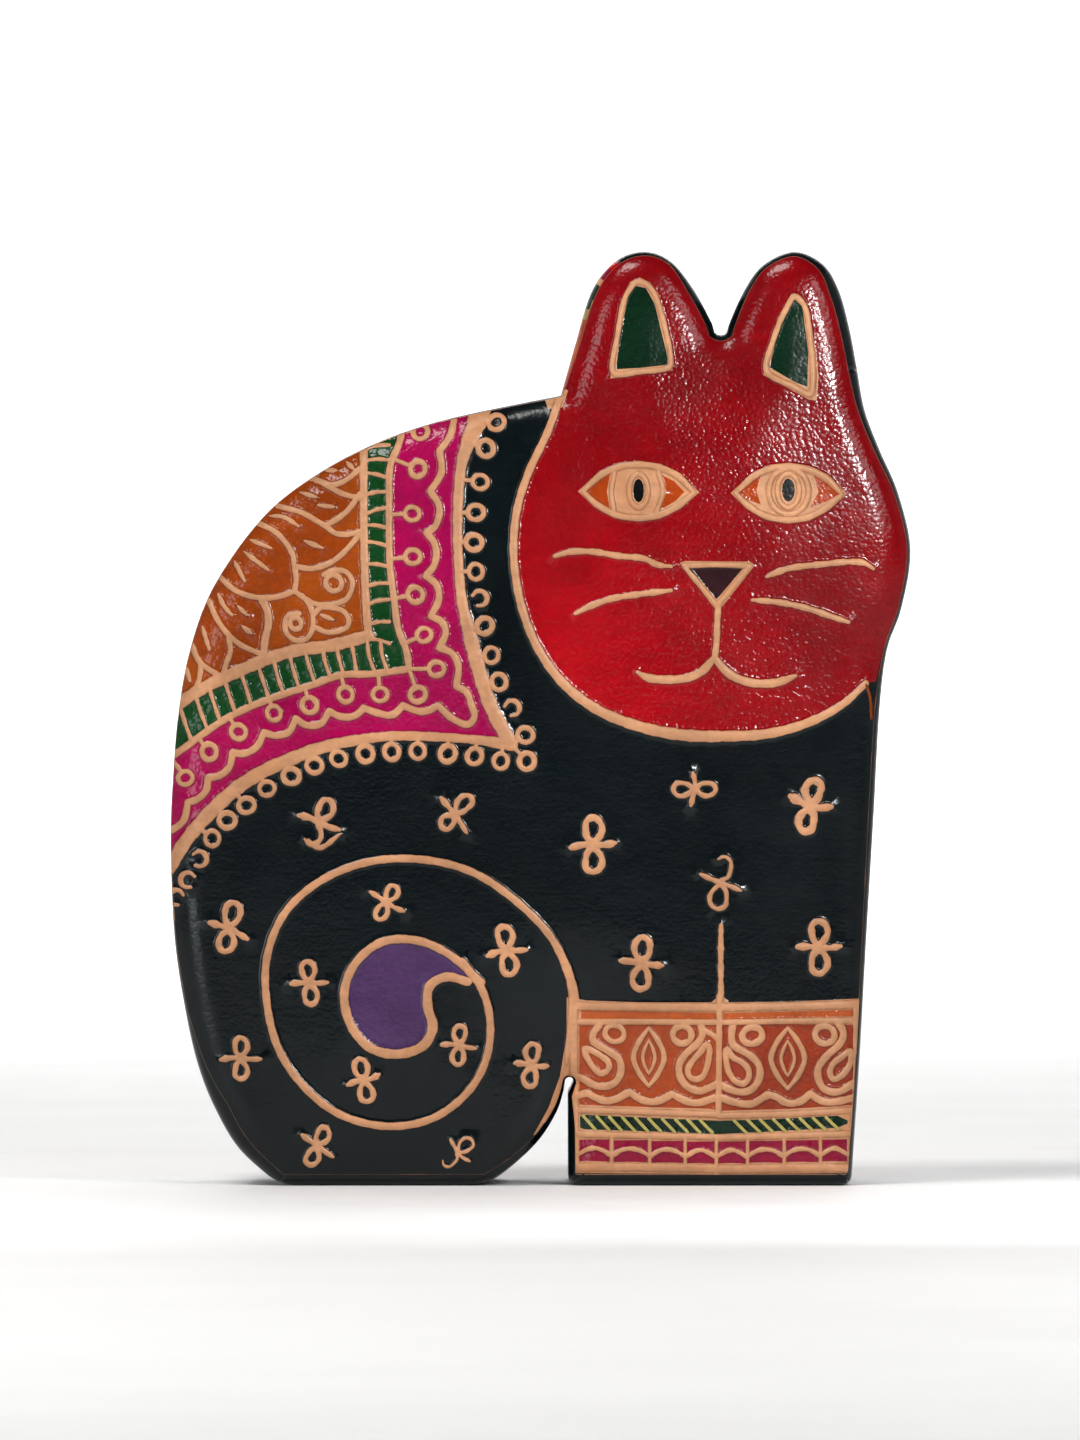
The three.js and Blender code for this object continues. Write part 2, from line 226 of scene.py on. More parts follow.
def edge_depth(points):
    """How far inside the silhouette each point is."""
    along = np.roll(OUTLINE, -1, axis=0) - OUTLINE
    length2 = np.sum(along ** 2, axis=1)
    depths = []
    for block in np.array_split(points, len(points) // 4000 + 1):
        away = block[:, None, :] - OUTLINE[None]
        t = np.clip(np.sum(away * along, axis=2) / length2, 0, 1)
        gap = away - t[..., None] * along
        depths.append(np.sqrt(np.min(np.sum(gap ** 2, axis=2), axis=1)))
    return np.concatenate(depths)


def skin_out(points):
    """Distance of the plain front or back leather from the mid-plane."""
    depth = edge_depth(points)
    across = (EDGE_RADIUS - np.minimum(depth, EDGE_RADIUS)) / (EDGE_RADIUS + HIDE)
    rounded = (HALF_DEPTH - EDGE_RADIUS) + RISE * np.sqrt(1 - across ** 2)
    return rounded + SWELL * smoothstep(0, SWELL_REACH, depth)


def inside(polygon, points):
    """Which points lie in a polygon."""
    polygon = np.array(polygon, float)
    x, z = points[:, 0], points[:, 1]
    result = np.zeros(len(points), bool)
    for (x0, z0), (x1, z1) in zip(polygon, np.roll(polygon, -1, axis=0)):
        if z0 == z1:
            continue
        crosses = (z0 > z) != (z1 > z)
        result ^= crosses & (x < (x1 - x0) * (z - z0) / (z1 - z0) + x0)
    return result


# ---------------------------------------------------------------- raised lines
class Line:
    """A raised line: stations along its middle, each with a half-width."""

    def __init__(self, points, widths, closed, paint):
        self.points, self.widths, self.closed, self.paint = points, widths, closed, paint
        ahead = np.roll(points, -1, axis=0) - points
        if closed:
            along = ahead + np.roll(ahead, 1, axis=0)
        else:
            along = np.gradient(points, axis=0)
        along /= np.maximum(np.linalg.norm(along, axis=1, keepdims=True), 1e-9)
        self.side = np.stack((-along[:, 1], along[:, 0]), axis=1)
        self.along = along

    def row(self, share):
        return self.points + self.side * (self.widths * share)[:, None]

    def outlines(self):
        """Closed outlines of the line."""
        if self.closed:
            return [self.row(1), self.row(-1)]
        caps = []
        for end, direction in ((-1, 1), (0, -1)):
            middle, width = self.points[end], self.widths[end]
            out, side = self.along[end] * direction, self.side[end] * direction
            caps.append([middle + width * (math.cos(a) * side + math.sin(a) * out)
                         for a in np.radians((45, 90, 135))])
        return [np.vstack((self.row(1), caps[0], self.row(-1)[::-1], caps[1]))]


LINES = []  # raised lines, in the order they are drawn


def through(points, closed=False):
    """A finely divided smooth curve through points that may be unevenly spaced."""
    points = [np.array(p[:2], float) for p in points]
    if len(points) == 2 and not closed:
        return np.array([points[0] + (points[1] - points[0]) * t
                         for t in np.linspace(0, 1, CURVE_STEPS)])
    if closed:
        run = [points[-1]] + points + points[:2]
    else:
        run = [2 * points[0] - points[1]] + points + [2 * points[-1] - points[-2]]
    fine = []
    for before, start, end, after in zip(run, run[1:], run[2:], run[3:]):
        gaps = [max(np.linalg.norm(b - a), 1e-6) ** 0.5
                for a, b in ((before, start), (start, end), (end, after))]
        leave = (end - start) + gaps[1] * ((start - before) / gaps[0]
                                           - (end - before) / (gaps[0] + gaps[1]))
        arrive = (end - start) + gaps[1] * ((after - end) / gaps[2]
                                            - (after - start) / (gaps[1] + gaps[2]))
        for t in np.arange(0, 1, 1 / CURVE_STEPS):
            fine.append((2 * (start - end) + leave + arrive) * t ** 3
                        + (3 * (end - start) - 2 * leave - arrive) * t ** 2
                        + leave * t + start)
    if not closed:
        fine.append(points[-1])
    return np.array(fine)


def wobble(distance, seed):
    """A slow, even variation between about -1 and 1, for a hand-tooled width."""
    return (0.5 * np.sin(distance * 1.9 + seed * 2.3) + 0.3 * np.sin(distance * 4.3 + seed)
            + 0.2 * np.sin(distance * 7.1 + seed * 5.1))


def line(points, width=0.5, widths=None, closed=False, taper=(1, 1), step=None, paint="tan",
         uneven=0.1):
    """Adds a raised line. widths gives (share of the length, half-width) pairs."""
    fine = through(points, closed)
    if closed:
        fine = np.vstack((fine, fine[:1]))
    run = np.concatenate(([0], np.cumsum(np.linalg.norm(np.diff(fine, axis=0), axis=1))))
    if step is None:
        step = STEP if run[-1] > LONG_LINE else FINE_STEP
    count = max(6 if closed else 3, int(round(run[-1] / step)) + 1)
    at = np.linspace(0, run[-1], count + 1)[:-1] if closed else np.linspace(0, run[-1], count)
    stations = np.stack([np.interp(at, run, fine[:, k]) for k in (0, 1)], axis=1)
    share = at / run[-1]
    if widths is None:
        half = np.full(len(at), float(width))
        fade = min(TAPER_REACH, run[-1] * 0.3)
        if not closed:
            half *= np.interp(at, [0, fade], [taper[0], 1])
            half *= np.interp(run[-1] - at, [0, fade], [taper[1], 1])
    else:
        half = np.interp(share, [w[0] for w in widths], [w[1] for w in widths])
    seed = float(stations[0, 0] * 3.7 + stations[0, 1] * 1.3)
    half = half * (1 + uneven * wobble(at, seed))
    LINES.append(Line(stations, half, closed, paint))


def lines(runs, width=0.5, **options):
    for points in runs:
        line(points, width, **options)


def scalloped(points, width):
    """A line of scallops: a point with a third number is a cusp."""
    run = []
    for point in points:
        run.append(point)
        if len(point) == 3 and len(run) > 1:
            line(run, width, step=FINE_STEP)
            run = [point]
    if len(run) > 1:
        line(run, width, step=FINE_STEP)


def ring(x, z, outer, hole, squash=1.0):
    """A small raised ring with a hollow of its own, a little out of round."""
    radius, width = (outer + hole) / 2, (outer - hole) / 2
    points = []
    for angle in np.radians(np.arange(0, 360, 45)):
        reach = radius * (1 + 0.05 * math.sin(2 * angle + x * 3 + z))
        points.append((x + reach * math.cos(angle), z + reach * squash * math.sin(angle)))
    line(points, width, closed=True, step=FINE_STEP, uneven=0.14)


def open_ring(x, z, outer, hole, gap, half_gap=48):
    """A ring that the tool left open on one side; gap is the side's angle in degrees."""
    points = arc(x, z, (outer + hole) / 2, gap + half_gap, gap + 360 - half_gap, 6)
    line(points, (outer - hole) / 2, step=FINE_STEP, uneven=0.2, taper=(0.6, 0.6))


def rings_on_stalks(centres, outer, hole, root):
    """Rings that hang from a line; root gives the nearest point of that line.

    A third number marks an open ring and is the angle of its gap.
    """
    for index, (x, z, *gap) in enumerate(centres):
        end = np.array(root(x, z), float)
        middle = np.array((x, z), float)
        away = (end - middle) / max(np.linalg.norm(end - middle), 1e-6)
        if gap:
            open_ring(x, z, outer, hole, gap[0])
        else:
            ring(x, z, outer * (1 + 0.06 * math.sin(index * 2.1)), hole)
        start = middle + away * outer * 0.9
        if np.linalg.norm(end - start) > 0.5 and not gap:
            line([start, end], STALK, step=FINE_STEP)


def nearest_on(points):
    fine = through(points)

    def find(x, z):
        return fine[int(np.argmin(np.hypot(fine[:, 0] - x, fine[:, 1] - z)))]
    return find


def knot(x, z, tall, wide, lift, tilt=0.0, width=None, open_loop=0, upper=0.5):
    """A small ribbon knot: two loops on one axis and a short bar across where they meet.

    lift raises the bar's left and right ends; upper is the upper loop's share of the height.
    """
    turn = math.radians(tilt)
    width = width or 0.046 * tall + 0.09

    def place(across, up):
        return (x + across * math.cos(turn) - up * math.sin(turn),
                z + across * math.sin(turn) + up * math.cos(turn))

    for sign, share in ((1, upper), (-1, 1 - upper)):
        size = tall * share
        middle = sign * (tall * (upper if sign > 0 else 1 - upper) - size * 0.5)
        up, across = size * 0.5 - width, 0.182 * tall - width * 0.85
        corners = np.radians(np.arange(-90, 270, 45) * sign)
        run = [place(across * math.cos(a) * (1 + 0.16 * sign * math.sin(a)
                                             + 0.1 * math.sin(3 * a + x)),
                     middle + up * math.sin(a)) for a in corners]
        if open_loop == sign:
            line(run[:6], width * 0.9, step=0.3, taper=(1, 0.45), uneven=0.2)
        else:
            line(run, width, closed=True, step=0.3, uneven=0.2)
    half, (left, right) = wide * 0.47, lift
    line([place(-half, left), place(-half * 0.5, left * 0.3 + 0.12), place(0, 0),
          place(half * 0.5, right * 0.3 - 0.12), place(half, right)],
         widths=[(0, 0.75 * width), (0.12, 1.3 * width), (0.3, 0.9 * width), (0.5, 1.3 * width),
                 (0.72, 0.9 * width), (0.9, 1.15 * width), (1, 0.6 * width)],
         step=0.3, uneven=0.16)


# ---------------------------------------------------------------- paints
PAINTS = {
    "black": (0.0012, 0.0034, 0.0044),
    "tan": (0.450, 0.218, 0.108),
    "raw": (0.40, 0.21, 0.10),
    "red": (0.335, 0.0008, 0.0045),
    "orange": (0.26, 0.046, 0.003),
    "russet": (0.23, 0.035, 0.002),
    "magenta": (0.28, 0.0010, 0.054),
    "green": (0.003, 0.038, 0.007),
    "deep_green": (0.0012, 0.0145, 0.0055),
    "purple": (0.056, 0.024, 0.082),
    "rust": (0.275, 0.043, 0.010),
    "rust_red": (0.235, 0.028, 0.008),
    "stripe": (0.36, 0.070, 0.015),
    "cuff_green": (0.002, 0.015, 0.006),
    "cuff_magenta": (0.19, 0.0015, 0.022),
    "yellow": (0.54, 0.45, 0.12),
    "straw": (0.26, 0.19, 0.06),
    "eye": (0.30, 0.036, 0.003),
    "nose": (0.020, 0.004, 0.006),
    "pupil": (0.003, 0.003, 0.003),
    "edge": (0.02, 0.012, 0.008),
    "cut": (0.10, 0.055, 0.03),
}
FIELDS = []  # painted areas, later ones over earlier ones: (paint, polygon, sharp)


def field(paint, polygon, sharp=True):
    """A painted area. A sharp one has an edge of its own; the rest end under a raised line."""
    FIELDS.append((paint, np.array(polygon, float), sharp))


def band(paint, top, bottom):
    field(paint, list(top) + list(bottom)[::-1])


def slanted(x, top, bottom, lean, width, paint):
    line([(x, top), (x + lean, bottom)], width, step=0.6, paint=paint, uneven=0.05)


# ---------------------------------------------------------------- the painted design
HEAD_EDGE = [
    (3.1, 126.6), (1.2, 121.1), (-1.9, 114.5), (-3.8, 108.4), (-4.35, 102.4), (-3.9, 96.9),
    (-2.6, 91.4), (-0.2, 85.8), (3.9, 80.3), (9.4, 76.2), (16.05, 73.6), (22.7, 72.3),
    (29.8, 72.1), (37, 72.6), (43.6, 74.55), (48.6, 77.3), (52.2, 80.6),
]
GREEN_SIDE = [
    (-22.2, 123), (-22.6, 119.5), (-24.1, 115.6), (-24.3, 109.4), (-24.3, 104.3), (-24.1, 98.7),
    (-23.5, 94.2), (-22.9, 89.6), (-21.5, 85.7), (-21.1, 82.9),
]
GREEN_FOOT = [
    (-21.1, 82.9), (-27, 82.1), (-32, 81.9), (-37, 80.2), (-42, 78.6), (-45.7, 77.2),
    (-50, 75.2), (-54, 72.6), (-57, 70.4), (-62, 67),
]
ORANGE_SIDE = [(-28.4, 121), (-28.4, 113), (-28.35, 105), (-28.05, 94), (-27.6, 88.2)]
ORANGE_FOOT = [
    (-27.6, 88.2), (-33.3, 86.7), (-40, 85.7), (-44.3, 84.3), (-49, 82.3), (-53.3, 80.3),
    (-56.7, 78.3), (-61, 75.2),
]
BORDER_SIDE = [
    (-9.2, 127), (-9.7, 124), (-12.45, 116.7), (-13.15, 111), (-13.3, 105), (-13.15, 100),
    (-12.65, 94), (-11.65, 89.6), (-9.95, 83), (-8, 77), (-5.1, 71.4),
]
BORDER_SIDE_WIDTHS = [
    (0, 1.6), (0.06, 1.7), (0.2, 0.85), (0.5, 0.75), (0.6, 0.85), (0.7, 1.15), (1, 1.15),
]
BORDER_FOOT = [
    (-4.6, 70.7), (-10.2, 71.5), (-18.1, 72.05), (-24, 72.1), (-29.7, 71.45), (-35.3, 70.2),
    (-39.9, 68.5), (-44.1, 66.65), (-48.3, 64.1), (-52.2, 60.7), (-55.1, 57.6), (-57.3, 54.8),
    (-59.1, 51.8), (-61.5, 48.4),
]
BORDER_FOOT_WIDTHS = [(0, 1.0), (0.1, 0.7), (0.35, 0.8), (0.5, 1.05), (0.75, 1.15), (1, 1.05)]
TAIL = [
    (5.55, 29.6), (4.4, 34.3), (1.5, 40.1), (-4.6, 46.2), (-11.2, 50.4), (-18.8, 52.3),
    (-27.3, 52), (-35.3, 48.9), (-41, 43.8), (-43.9, 36.7), (-43.9, 29.1), (-41.9, 21.6),
    (-37.6, 15.5), (-32, 11.3), (-24.4, 9.5), (-17.3, 10.8), (-11.7, 15), (-8.8, 20.1),
    (-8.1, 26.4), (-9.7, 32), (-14.1, 36.7), (-19.7, 39.3), (-25.4, 39.1), (-29.7, 35.7),
    (-31.5, 31.1), (-30.5, 25.9), (-27.3, 22.1), (-22.9, 21.1), (-18.8, 22.5), (-17.3, 25.4),
    (-18.1, 28.7), (-17.8, 32), (-15.1, 33.5), (-11.7, 32.7),
]


def head():
    red_rim = [(53.8, 80.9), (55.1, 86.4), (66, 86.4), (66, 156), (0, 156), (1.2, 128.3)]
    field("red", [*through(HEAD_EDGE)[::4], *red_rim])
    field("tan", [(1.2, 124.6), (3.5, 124.9), (4.4, 127.6), (2.6, 128.6), (0.4, 127)])
    line(HEAD_EDGE, widths=[(0, 0.6), (0.4, 0.68), (0.7, 0.95), (0.9, 0.7), (1, 0.5)])
    line([(52.2, 80.6), (52.9, 78.3), (53.1, 75)], 0.22, paint="orange")
    line([(-11, 125.2), (-4, 126.1), (1.8, 126.6)], 0.3, uneven=0.3)


def ear_insides():
    field("tan", [(11.2, 129.5), (12, 137), (13.3, 143), (14.4, 145), (15.9, 145.7),
                  (17.6, 144.9), (18.8, 143.2), (19.9, 140.1), (21.4, 131.9), (21, 130.8)])
    field("deep_green", [(12.1, 131), (12.7, 136), (14, 142.6), (15.2, 144.4), (16.9, 144),
                         (18.3, 141.5), (20.35, 133), (20.35, 131.7), (16, 131.2)])
    line([(11.75, 130.35), (12.35, 136.5), (13.7, 142.8), (15.6, 145), (17.6, 144.1),
          (19.1, 140.8), (20.9, 132.5), (20.6, 131.3), (16, 130.6)], 0.42, closed=True)
    field("tan", [(35.7, 130.1), (36.4, 133.8), (38.1, 139.3), (40.75, 143.2), (42.8, 141.5),
                  (43.9, 135.5), (44.6, 130), (44.3, 126), (43.1, 126.1)])
    field("deep_green", [(36.7, 131.3), (38.1, 137.1), (40.75, 142.2), (42, 141),
                         (42.95, 133.8), (42.8, 128.2), (40.9, 128.85)])
    line([(36.25, 130.7), (37.2, 135.3), (39.2, 140.3), (40.8, 142.7), (42.35, 141.1),
          (43.4, 134.6), (43.7, 129.2), (43.3, 127), (40.6, 128.2)], 0.45, closed=True)


def almond(x0, x1, z, reach):
    """An eye's outline: pointed at both ends, the right one a little lower."""
    width = x1 - x0
    upper = [(x0, z), (x0 + 0.17 * width, z + 0.62 * reach), (x0 + 0.34 * width, z + 0.93 * reach),
             (x0 + 0.5 * width, z + reach), (x0 + 0.68 * width, z + 0.9 * reach),
             (x0 + 0.85 * width, z + 0.58 * reach), (x1, z - 0.2)]
    lower = [(x0 + 0.85 * width, z - 0.56 * reach), (x0 + 0.68 * width, z - 0.9 * reach),
             (x0 + 0.5 * width, z - reach), (x0 + 0.3 * width, z - 0.88 * reach),
             (x0 + 0.13 * width, z - 0.5 * reach)]
    return upper, lower


def oval(x, z, across, up, width, **options):
    points = [(x + across * math.cos(a), z + up * math.sin(a))
              for a in np.radians(np.arange(0, 360, 45))]
    line(points, width, closed=True, step=0.3, **options)


def eyes():
    for x0, x1, z in ((6.0, 25.4, 111.4), (30.5, 49.1, 111.1)):
        upper, lower = almond(x0, x1, z, 4.9)
        field("tan", upper + lower)
        inner_up, inner_low = almond(x0 + 0.75, x1 - 0.75, z, 4.3)
        line(inner_up, 0.5, taper=(0.6, 0.6))
        line([inner_up[-1]] + inner_low + [inner_up[0]], 0.5, taper=(0.6, 0.6))
    for corner in (
        [(7.2, 111.5), (8.6, 113), (11.2, 114.2), (10.6, 111.4), (11.1, 108.7), (8.8, 109.9)],
        [(19.5, 114), (21.4, 113), (23.05, 111.3), (21.6, 109.8), (19.2, 108.45), (20.2, 111.2)],
        [(31.65, 111.3), (33, 112.8), (35.3, 114), (34.6, 111.5), (35.3, 109.3), (33, 110.1)],
        [(43.9, 114), (46, 112.6), (47.9, 110.9), (45.9, 109.8), (43.3, 108.8), (44.6, 111.3)],
    ):
        field("eye", corner)
    for x, z, reach in ((15.7, 111.5, 0.9), (39.75, 111.6, 1.05)):
        field("pupil", [(x + reach * math.cos(a), z + 1.9 * math.sin(a))
                        for a in np.radians(np.arange(0, 360, 30))])
    oval(15.7, 111.5, 1.5, 2.7, 0.4)
    line([(11.9, 114.6), (11.35, 111.4), (11.8, 108.2)], 0.36)
    line([(18.9, 114.5), (19.6, 111.3), (18.6, 108.1)], 0.36)
    oval(39.75, 111.5, 1.75, 2.75, 0.36)
    oval(39.8, 111.4, 3.2, 3.7, 0.4)


def face():
    lines([
        [(2.3, 101), (5, 101.7), (8.3, 101.7), (12.7, 101), (16.6, 100.6), (18.8, 99.6),
         (20.9, 99.35)],
        [(5.6, 91.8), (8.3, 93.1), (11.6, 94.2), (16.05, 94.9), (20.9, 95.5)],
        [(36.3, 97.7), (39.75, 99), (45.3, 99.7), (49.7, 100.1), (51.9, 99.9), (53.4, 99)],
        [(34, 93.95), (38.1, 93.6), (42.5, 92.7), (46.4, 91.4), (49.4, 90.4)],
    ], 0.5, taper=(0.6, 0.6), uneven=0.2)
    field("tan", [(22.3, 99.9), (23.2, 100.2), (33.6, 100.1), (34.35, 99.5), (28.9, 92.6),
                  (27.9, 92.6)])
    field("nose", [(23.8, 99), (28, 99.2), (32.4, 99), (30.5, 96.7), (28.2, 94), (26, 96.7)])
    lines([[(23, 99.45), (28.3, 99.6), (33.4, 99.45)], [(23, 99.4), (28.3, 93)],
           [(33.6, 99.4), (28.3, 93)]], 0.42)
    line([(28.5, 93.2), (28.3, 89.7), (28.2, 87), (27.9, 84.5)], 0.52, taper=(1, 1))
    line([(27.7, 84.5), (25.7, 82.4), (23.2, 81.4), (19.4, 81.2), (17.2, 81.5), (15.5, 82.4)],
         0.68, taper=(0.8, 0.45))
    line([(28.1, 84.4), (30.4, 82), (33.7, 80.7), (37, 80.6), (38.9, 81), (40.9, 81.8)],
         0.68, taper=(0.8, 0.45))


def blanket():
    """The blanket's fields, each from its right and lower edge to beyond the silhouette."""
    for paint, side, foot, low, right in (("magenta", BORDER_SIDE, BORDER_FOOT, 48, -9.2),
                                          ("green", GREEN_SIDE, GREEN_FOOT, 67, -22.2),
                                          ("orange", ORANGE_SIDE, ORANGE_FOOT, 75, -28.4)):
        edge = [*through(side)[::6], *through(foot)[::6]]
        field(paint, edge + [(-75, low), (-75, 135), (right, 135)], sharp=False)
    line(BORDER_SIDE, widths=BORDER_SIDE_WIDTHS)
    line(BORDER_FOOT, widths=BORDER_FOOT_WIDTHS)
    lines([GREEN_SIDE, GREEN_FOOT], 0.57)
    line(ORANGE_SIDE, 0.66)
    line(ORANGE_FOOT, 1.0)


def green_bars():
    """Wavy bars across the green band."""
    for z in (118.6, 116.4, 113.9, 111.1, 108.3, 105.7, 102.9, 99.5, 96.4, 93.6, 90.2, 87.4):
        lift = 0.5 * math.sin(z * 1.7)
        line([(-27.9, z - lift), (-26.2, z + 0.2), (-24.3, z + lift)], 0.32, step=0.4,
             uneven=0.25)
    foot, top = nearest_on(GREEN_FOOT), nearest_on(ORANGE_FOOT)
    for x, z in ((-57, 74), (-54.4, 75.6), (-52.3, 77), (-49.8, 78.2), (-47.2, 79.6),
                 (-44.5, 80.9), (-42.2, 81.7), (-39.7, 82.9), (-37.2, 83.5), (-34.6, 84.1),
                 (-32.3, 84.4), (-29.9, 84.7), (-27.5, 84.9), (-25.4, 85)):
        low, high = foot(x + 0.5, z - 2), top(x - 0.4, z + 2)
        if x > -28:
            low, high = (x + 0.9, 82.4), (x - 0.3, 87.4)
        line([low, (x, z), high], 0.32, step=0.4, uneven=0.25)


def magenta_rings():
    side, foot = nearest_on(GREEN_SIDE), nearest_on(GREEN_FOOT)
    rings_on_stalks([(-19.3, 121), (-19.7, 115), (-20.6, 107.8), (-20.5, 100.9), (-20.1, 94.8),
                     (-18.7, 88.35)], *BLANKET_RING, side)
    rings_on_stalks([(-16.7, 82.9), (-19.7, 78.8), (-25.75, 78.8), (-31.3, 78.8),
                     (-37.1, 77.1), (-42.8, 75.8), (-48.5, 72.8), (-53.2, 69.6),
                     (-57.05, 65.4)], *BLANKET_RING, foot)
    scalloped([
        (-13.9, 122.9), (-14.5, 120.4), (-16.2, 117.85, 1), (-15.9, 114.5), (-17.7, 111.4, 1),
        (-16.4, 109.4), (-16.2, 108), (-17, 105.7), (-18.3, 104.8, 1), (-17.1, 103.2),
        (-16.7, 101.5), (-17.1, 99.5), (-18.4, 97.8, 1), (-16.7, 96.4), (-16.3, 94.2),
        (-17.6, 91.3, 1), (-15.9, 90.5), (-15.2, 88.8), (-16.2, 86.3, 1), (-14.2, 85.4),
        (-13.2, 83.4), (-13.5, 80.1, 1), (-11.9, 79.2), (-11.1, 77.2), (-10.6, 75.3),
        (-11.6, 74), (-14.2, 75), (-16.4, 77, 1), (-18.1, 76.2), (-19.5, 76.1), (-22.1, 77, 1),
        (-23.8, 75.5), (-26, 75.8), (-28.3, 76.6, 1), (-30, 75.3), (-32.2, 75.3),
        (-33.9, 76.1, 1), (-35.3, 74.1), (-37.6, 73.9), (-39.3, 74.9, 1), (-40.4, 72.8),
        (-42.4, 72.2), (-44.4, 72.7, 1), (-45.5, 70.5), (-47.5, 69.3), (-49.4, 69.5, 1),
        (-50, 67.1), (-51.7, 65.7), (-53.4, 65.4, 1), (-53.7, 63.4), (-55.1, 62),
        (-56.6, 61.5, 1), (-57.3, 58.6), (-59, 57.2), (-61, 56.6),
    ], 0.57)


def fringe():
    """Rings along the outside of the blanket's border."""
    side, foot = nearest_on(BORDER_SIDE), nearest_on(BORDER_FOOT)
    rings_on_stalks([
        (-7.1, 122.5), (-8.8, 118.3), (-9.7, 112.9), (-10.4, 108), (-10.7, 103.2),
        (-10.4, 98.5), (-9.8, 94.2, 205), (-9, 89.8), (-7.9, 85.1), (-6.7, 80.8),
        (-4.6, 76.6, 215),
    ], *FRINGE_RING, side)
    rings_on_stalks([
        (-2.45, 72.3), (-2.2, 68.1), (-6.4, 68.1), (-10.6, 68.9), (-14.9, 69.3), (-19.7, 69.7),
        (-23.9, 69.6), (-28.1, 69.3), (-32.4, 68.5), (-36.3, 67.4), (-40, 65.7), (-43.9, 63.7),
        (-47.2, 61), (-50.3, 58.6), (-52.7, 55.7), (-54.8, 52.4, 190), (-56.6, 49, -20),
        (-58.5, 46.2, -30),
    ], *FRINGE_RING, foot)


def flower():
    """The leaves and curls on the orange field."""
    for petal in (
        [(-45, 106), (-42.7, 105), (-41, 103.3), (-39.8, 101.3), (-39.2, 97.3), (-39.5, 95.3),
         (-42, 94.5), (-44.7, 94.3), (-47, 94.7), (-50.8, 97.2), (-54, 99), (-50, 108)],
        [(-43, 109.2), (-38.3, 108), (-34.3, 105.7), (-31, 104.5), (-29.8, 104.3), (-32, 101.2),
         (-34, 99.8), (-36.7, 99), (-39.3, 99.3), (-40.6, 103), (-44.5, 106.2)],
        [(-39.5, 112.5), (-36, 113.3), (-33.7, 112), (-30, 110.5), (-31, 108.3), (-34.3, 106.2),
         (-38.3, 108.3), (-42, 110)],
        [(-36, 116.5), (-33.3, 112.5), (-30, 114.5), (-28.9, 119)],
        [(-44.5, 85.5), (-44.2, 87.7), (-43.7, 90), (-44.7, 94), (-47, 94.5), (-50.5, 96.5),
         (-53.5, 96), (-56.5, 86), (-51.5, 82.5)],
    ):
        field("russet", petal)
    lines([
        [(-45.5, 106.4), (-42.7, 105), (-41, 103.3), (-39.8, 101.3), (-39.5, 99.3),
         (-39.2, 97.3), (-39.5, 95.3)],
        [(-51.8, 98), (-49.3, 95.7), (-47, 94.7), (-44.7, 94.3), (-42, 94.5), (-40, 95.2)],
        [(-42.3, 109.1), (-38.3, 108), (-36, 106.7), (-34.3, 105.7), (-33, 104.7),
         (-31, 104.5), (-29, 104.9)],
        [(-39.5, 99.4), (-36.7, 99), (-34, 99.8), (-32, 101.2), (-30.3, 103), (-29, 104.6)],
        [(-37.4, 113.6), (-36, 113.3), (-33.7, 112), (-31.7, 111), (-29, 110.3)],
        [(-29, 111), (-31, 108.3), (-32.3, 107.2), (-34.3, 106)],
        [(-36, 113.2), (-33.3, 112.5), (-31.3, 113.2), (-28.9, 115.2)],
    ], 0.46)
    lines([
        [(-46.7, 103.7), (-43.3, 102.3)], [(-47.7, 101.8), (-43.7, 98.8)],
        [(-49.2, 100.3), (-47.5, 97)], [(-43.6, 107.5), (-41.3, 107.3), (-38.8, 105.8)],
        [(-38.7, 111.3), (-36, 110.5)], [(-34.7, 114.8), (-32.8, 114.8)],
        [(-31.2, 116.2), (-29.8, 114.8)], [(-38, 103.5), (-35, 102.3)],
        [(-35.8, 109.2), (-33.2, 108.9)],
    ], 0.4, taper=(0.3, 0.5), uneven=0.2)
    lines([
        [(-34.8, 98), (-33.3, 98.7), (-31.3, 98.5), (-30.3, 97.3), (-30.3, 95.7), (-31.3, 94),
         (-33.3, 93.3), (-36, 93.3), (-38, 94.3), (-39.2, 95.2)],
        [(-36.5, 91.5), (-35.3, 92.7), (-33.3, 92.7), (-31.7, 92.2), (-30.8, 91), (-31, 89.7),
         (-32.3, 89), (-34.3, 88.8), (-36, 89.5)],
        [(-38.8, 91.8), (-40.7, 91.3), (-41, 90.3), (-40.8, 88.7), (-39.3, 87.5),
         (-37.7, 87.7), (-36.7, 89), (-36.5, 91), (-37, 93), (-38.3, 94.7)],
    ], 0.44, step=0.4)
    line([(-35.3, 91.6), (-33.3, 90.8)], 0.4, taper=(0.5, 0.5))
    ring(-33.2, 96.7, 1.75, 0.85)
    ring(-39.3, 90.2, 1.35, 0.5)
    line([(-44.7, 94), (-43.8, 92), (-43.7, 90), (-44.2, 87.7), (-44.5, 84.5)], 0.62)
    lines([
        [(-53.4, 94), (-51.7, 90.5), (-50, 88.3), (-48, 86.7), (-44.6, 85.2)],
        [(-50, 88), (-49.8, 85.7), (-50.5, 83.7), (-51, 81.7)],
        [(-56.2, 87), (-54.7, 84), (-53, 82.7), (-51.2, 81.6)],
        [(-54.5, 83.7), (-54.8, 81.3), (-55.7, 79)],
    ], 0.45)
    lines([
        [(-51.8, 95), (-50.8, 93), (-49.5, 91.5)], [(-54.3, 89.7), (-53.2, 86)],
        [(-57, 83.3), (-56.3, 81)], [(-48.6, 93), (-47.2, 91.6)], [(-47.9, 89.8), (-46.4, 88.6)],
    ], 0.4, taper=(0.4, 0.5), uneven=0.2)


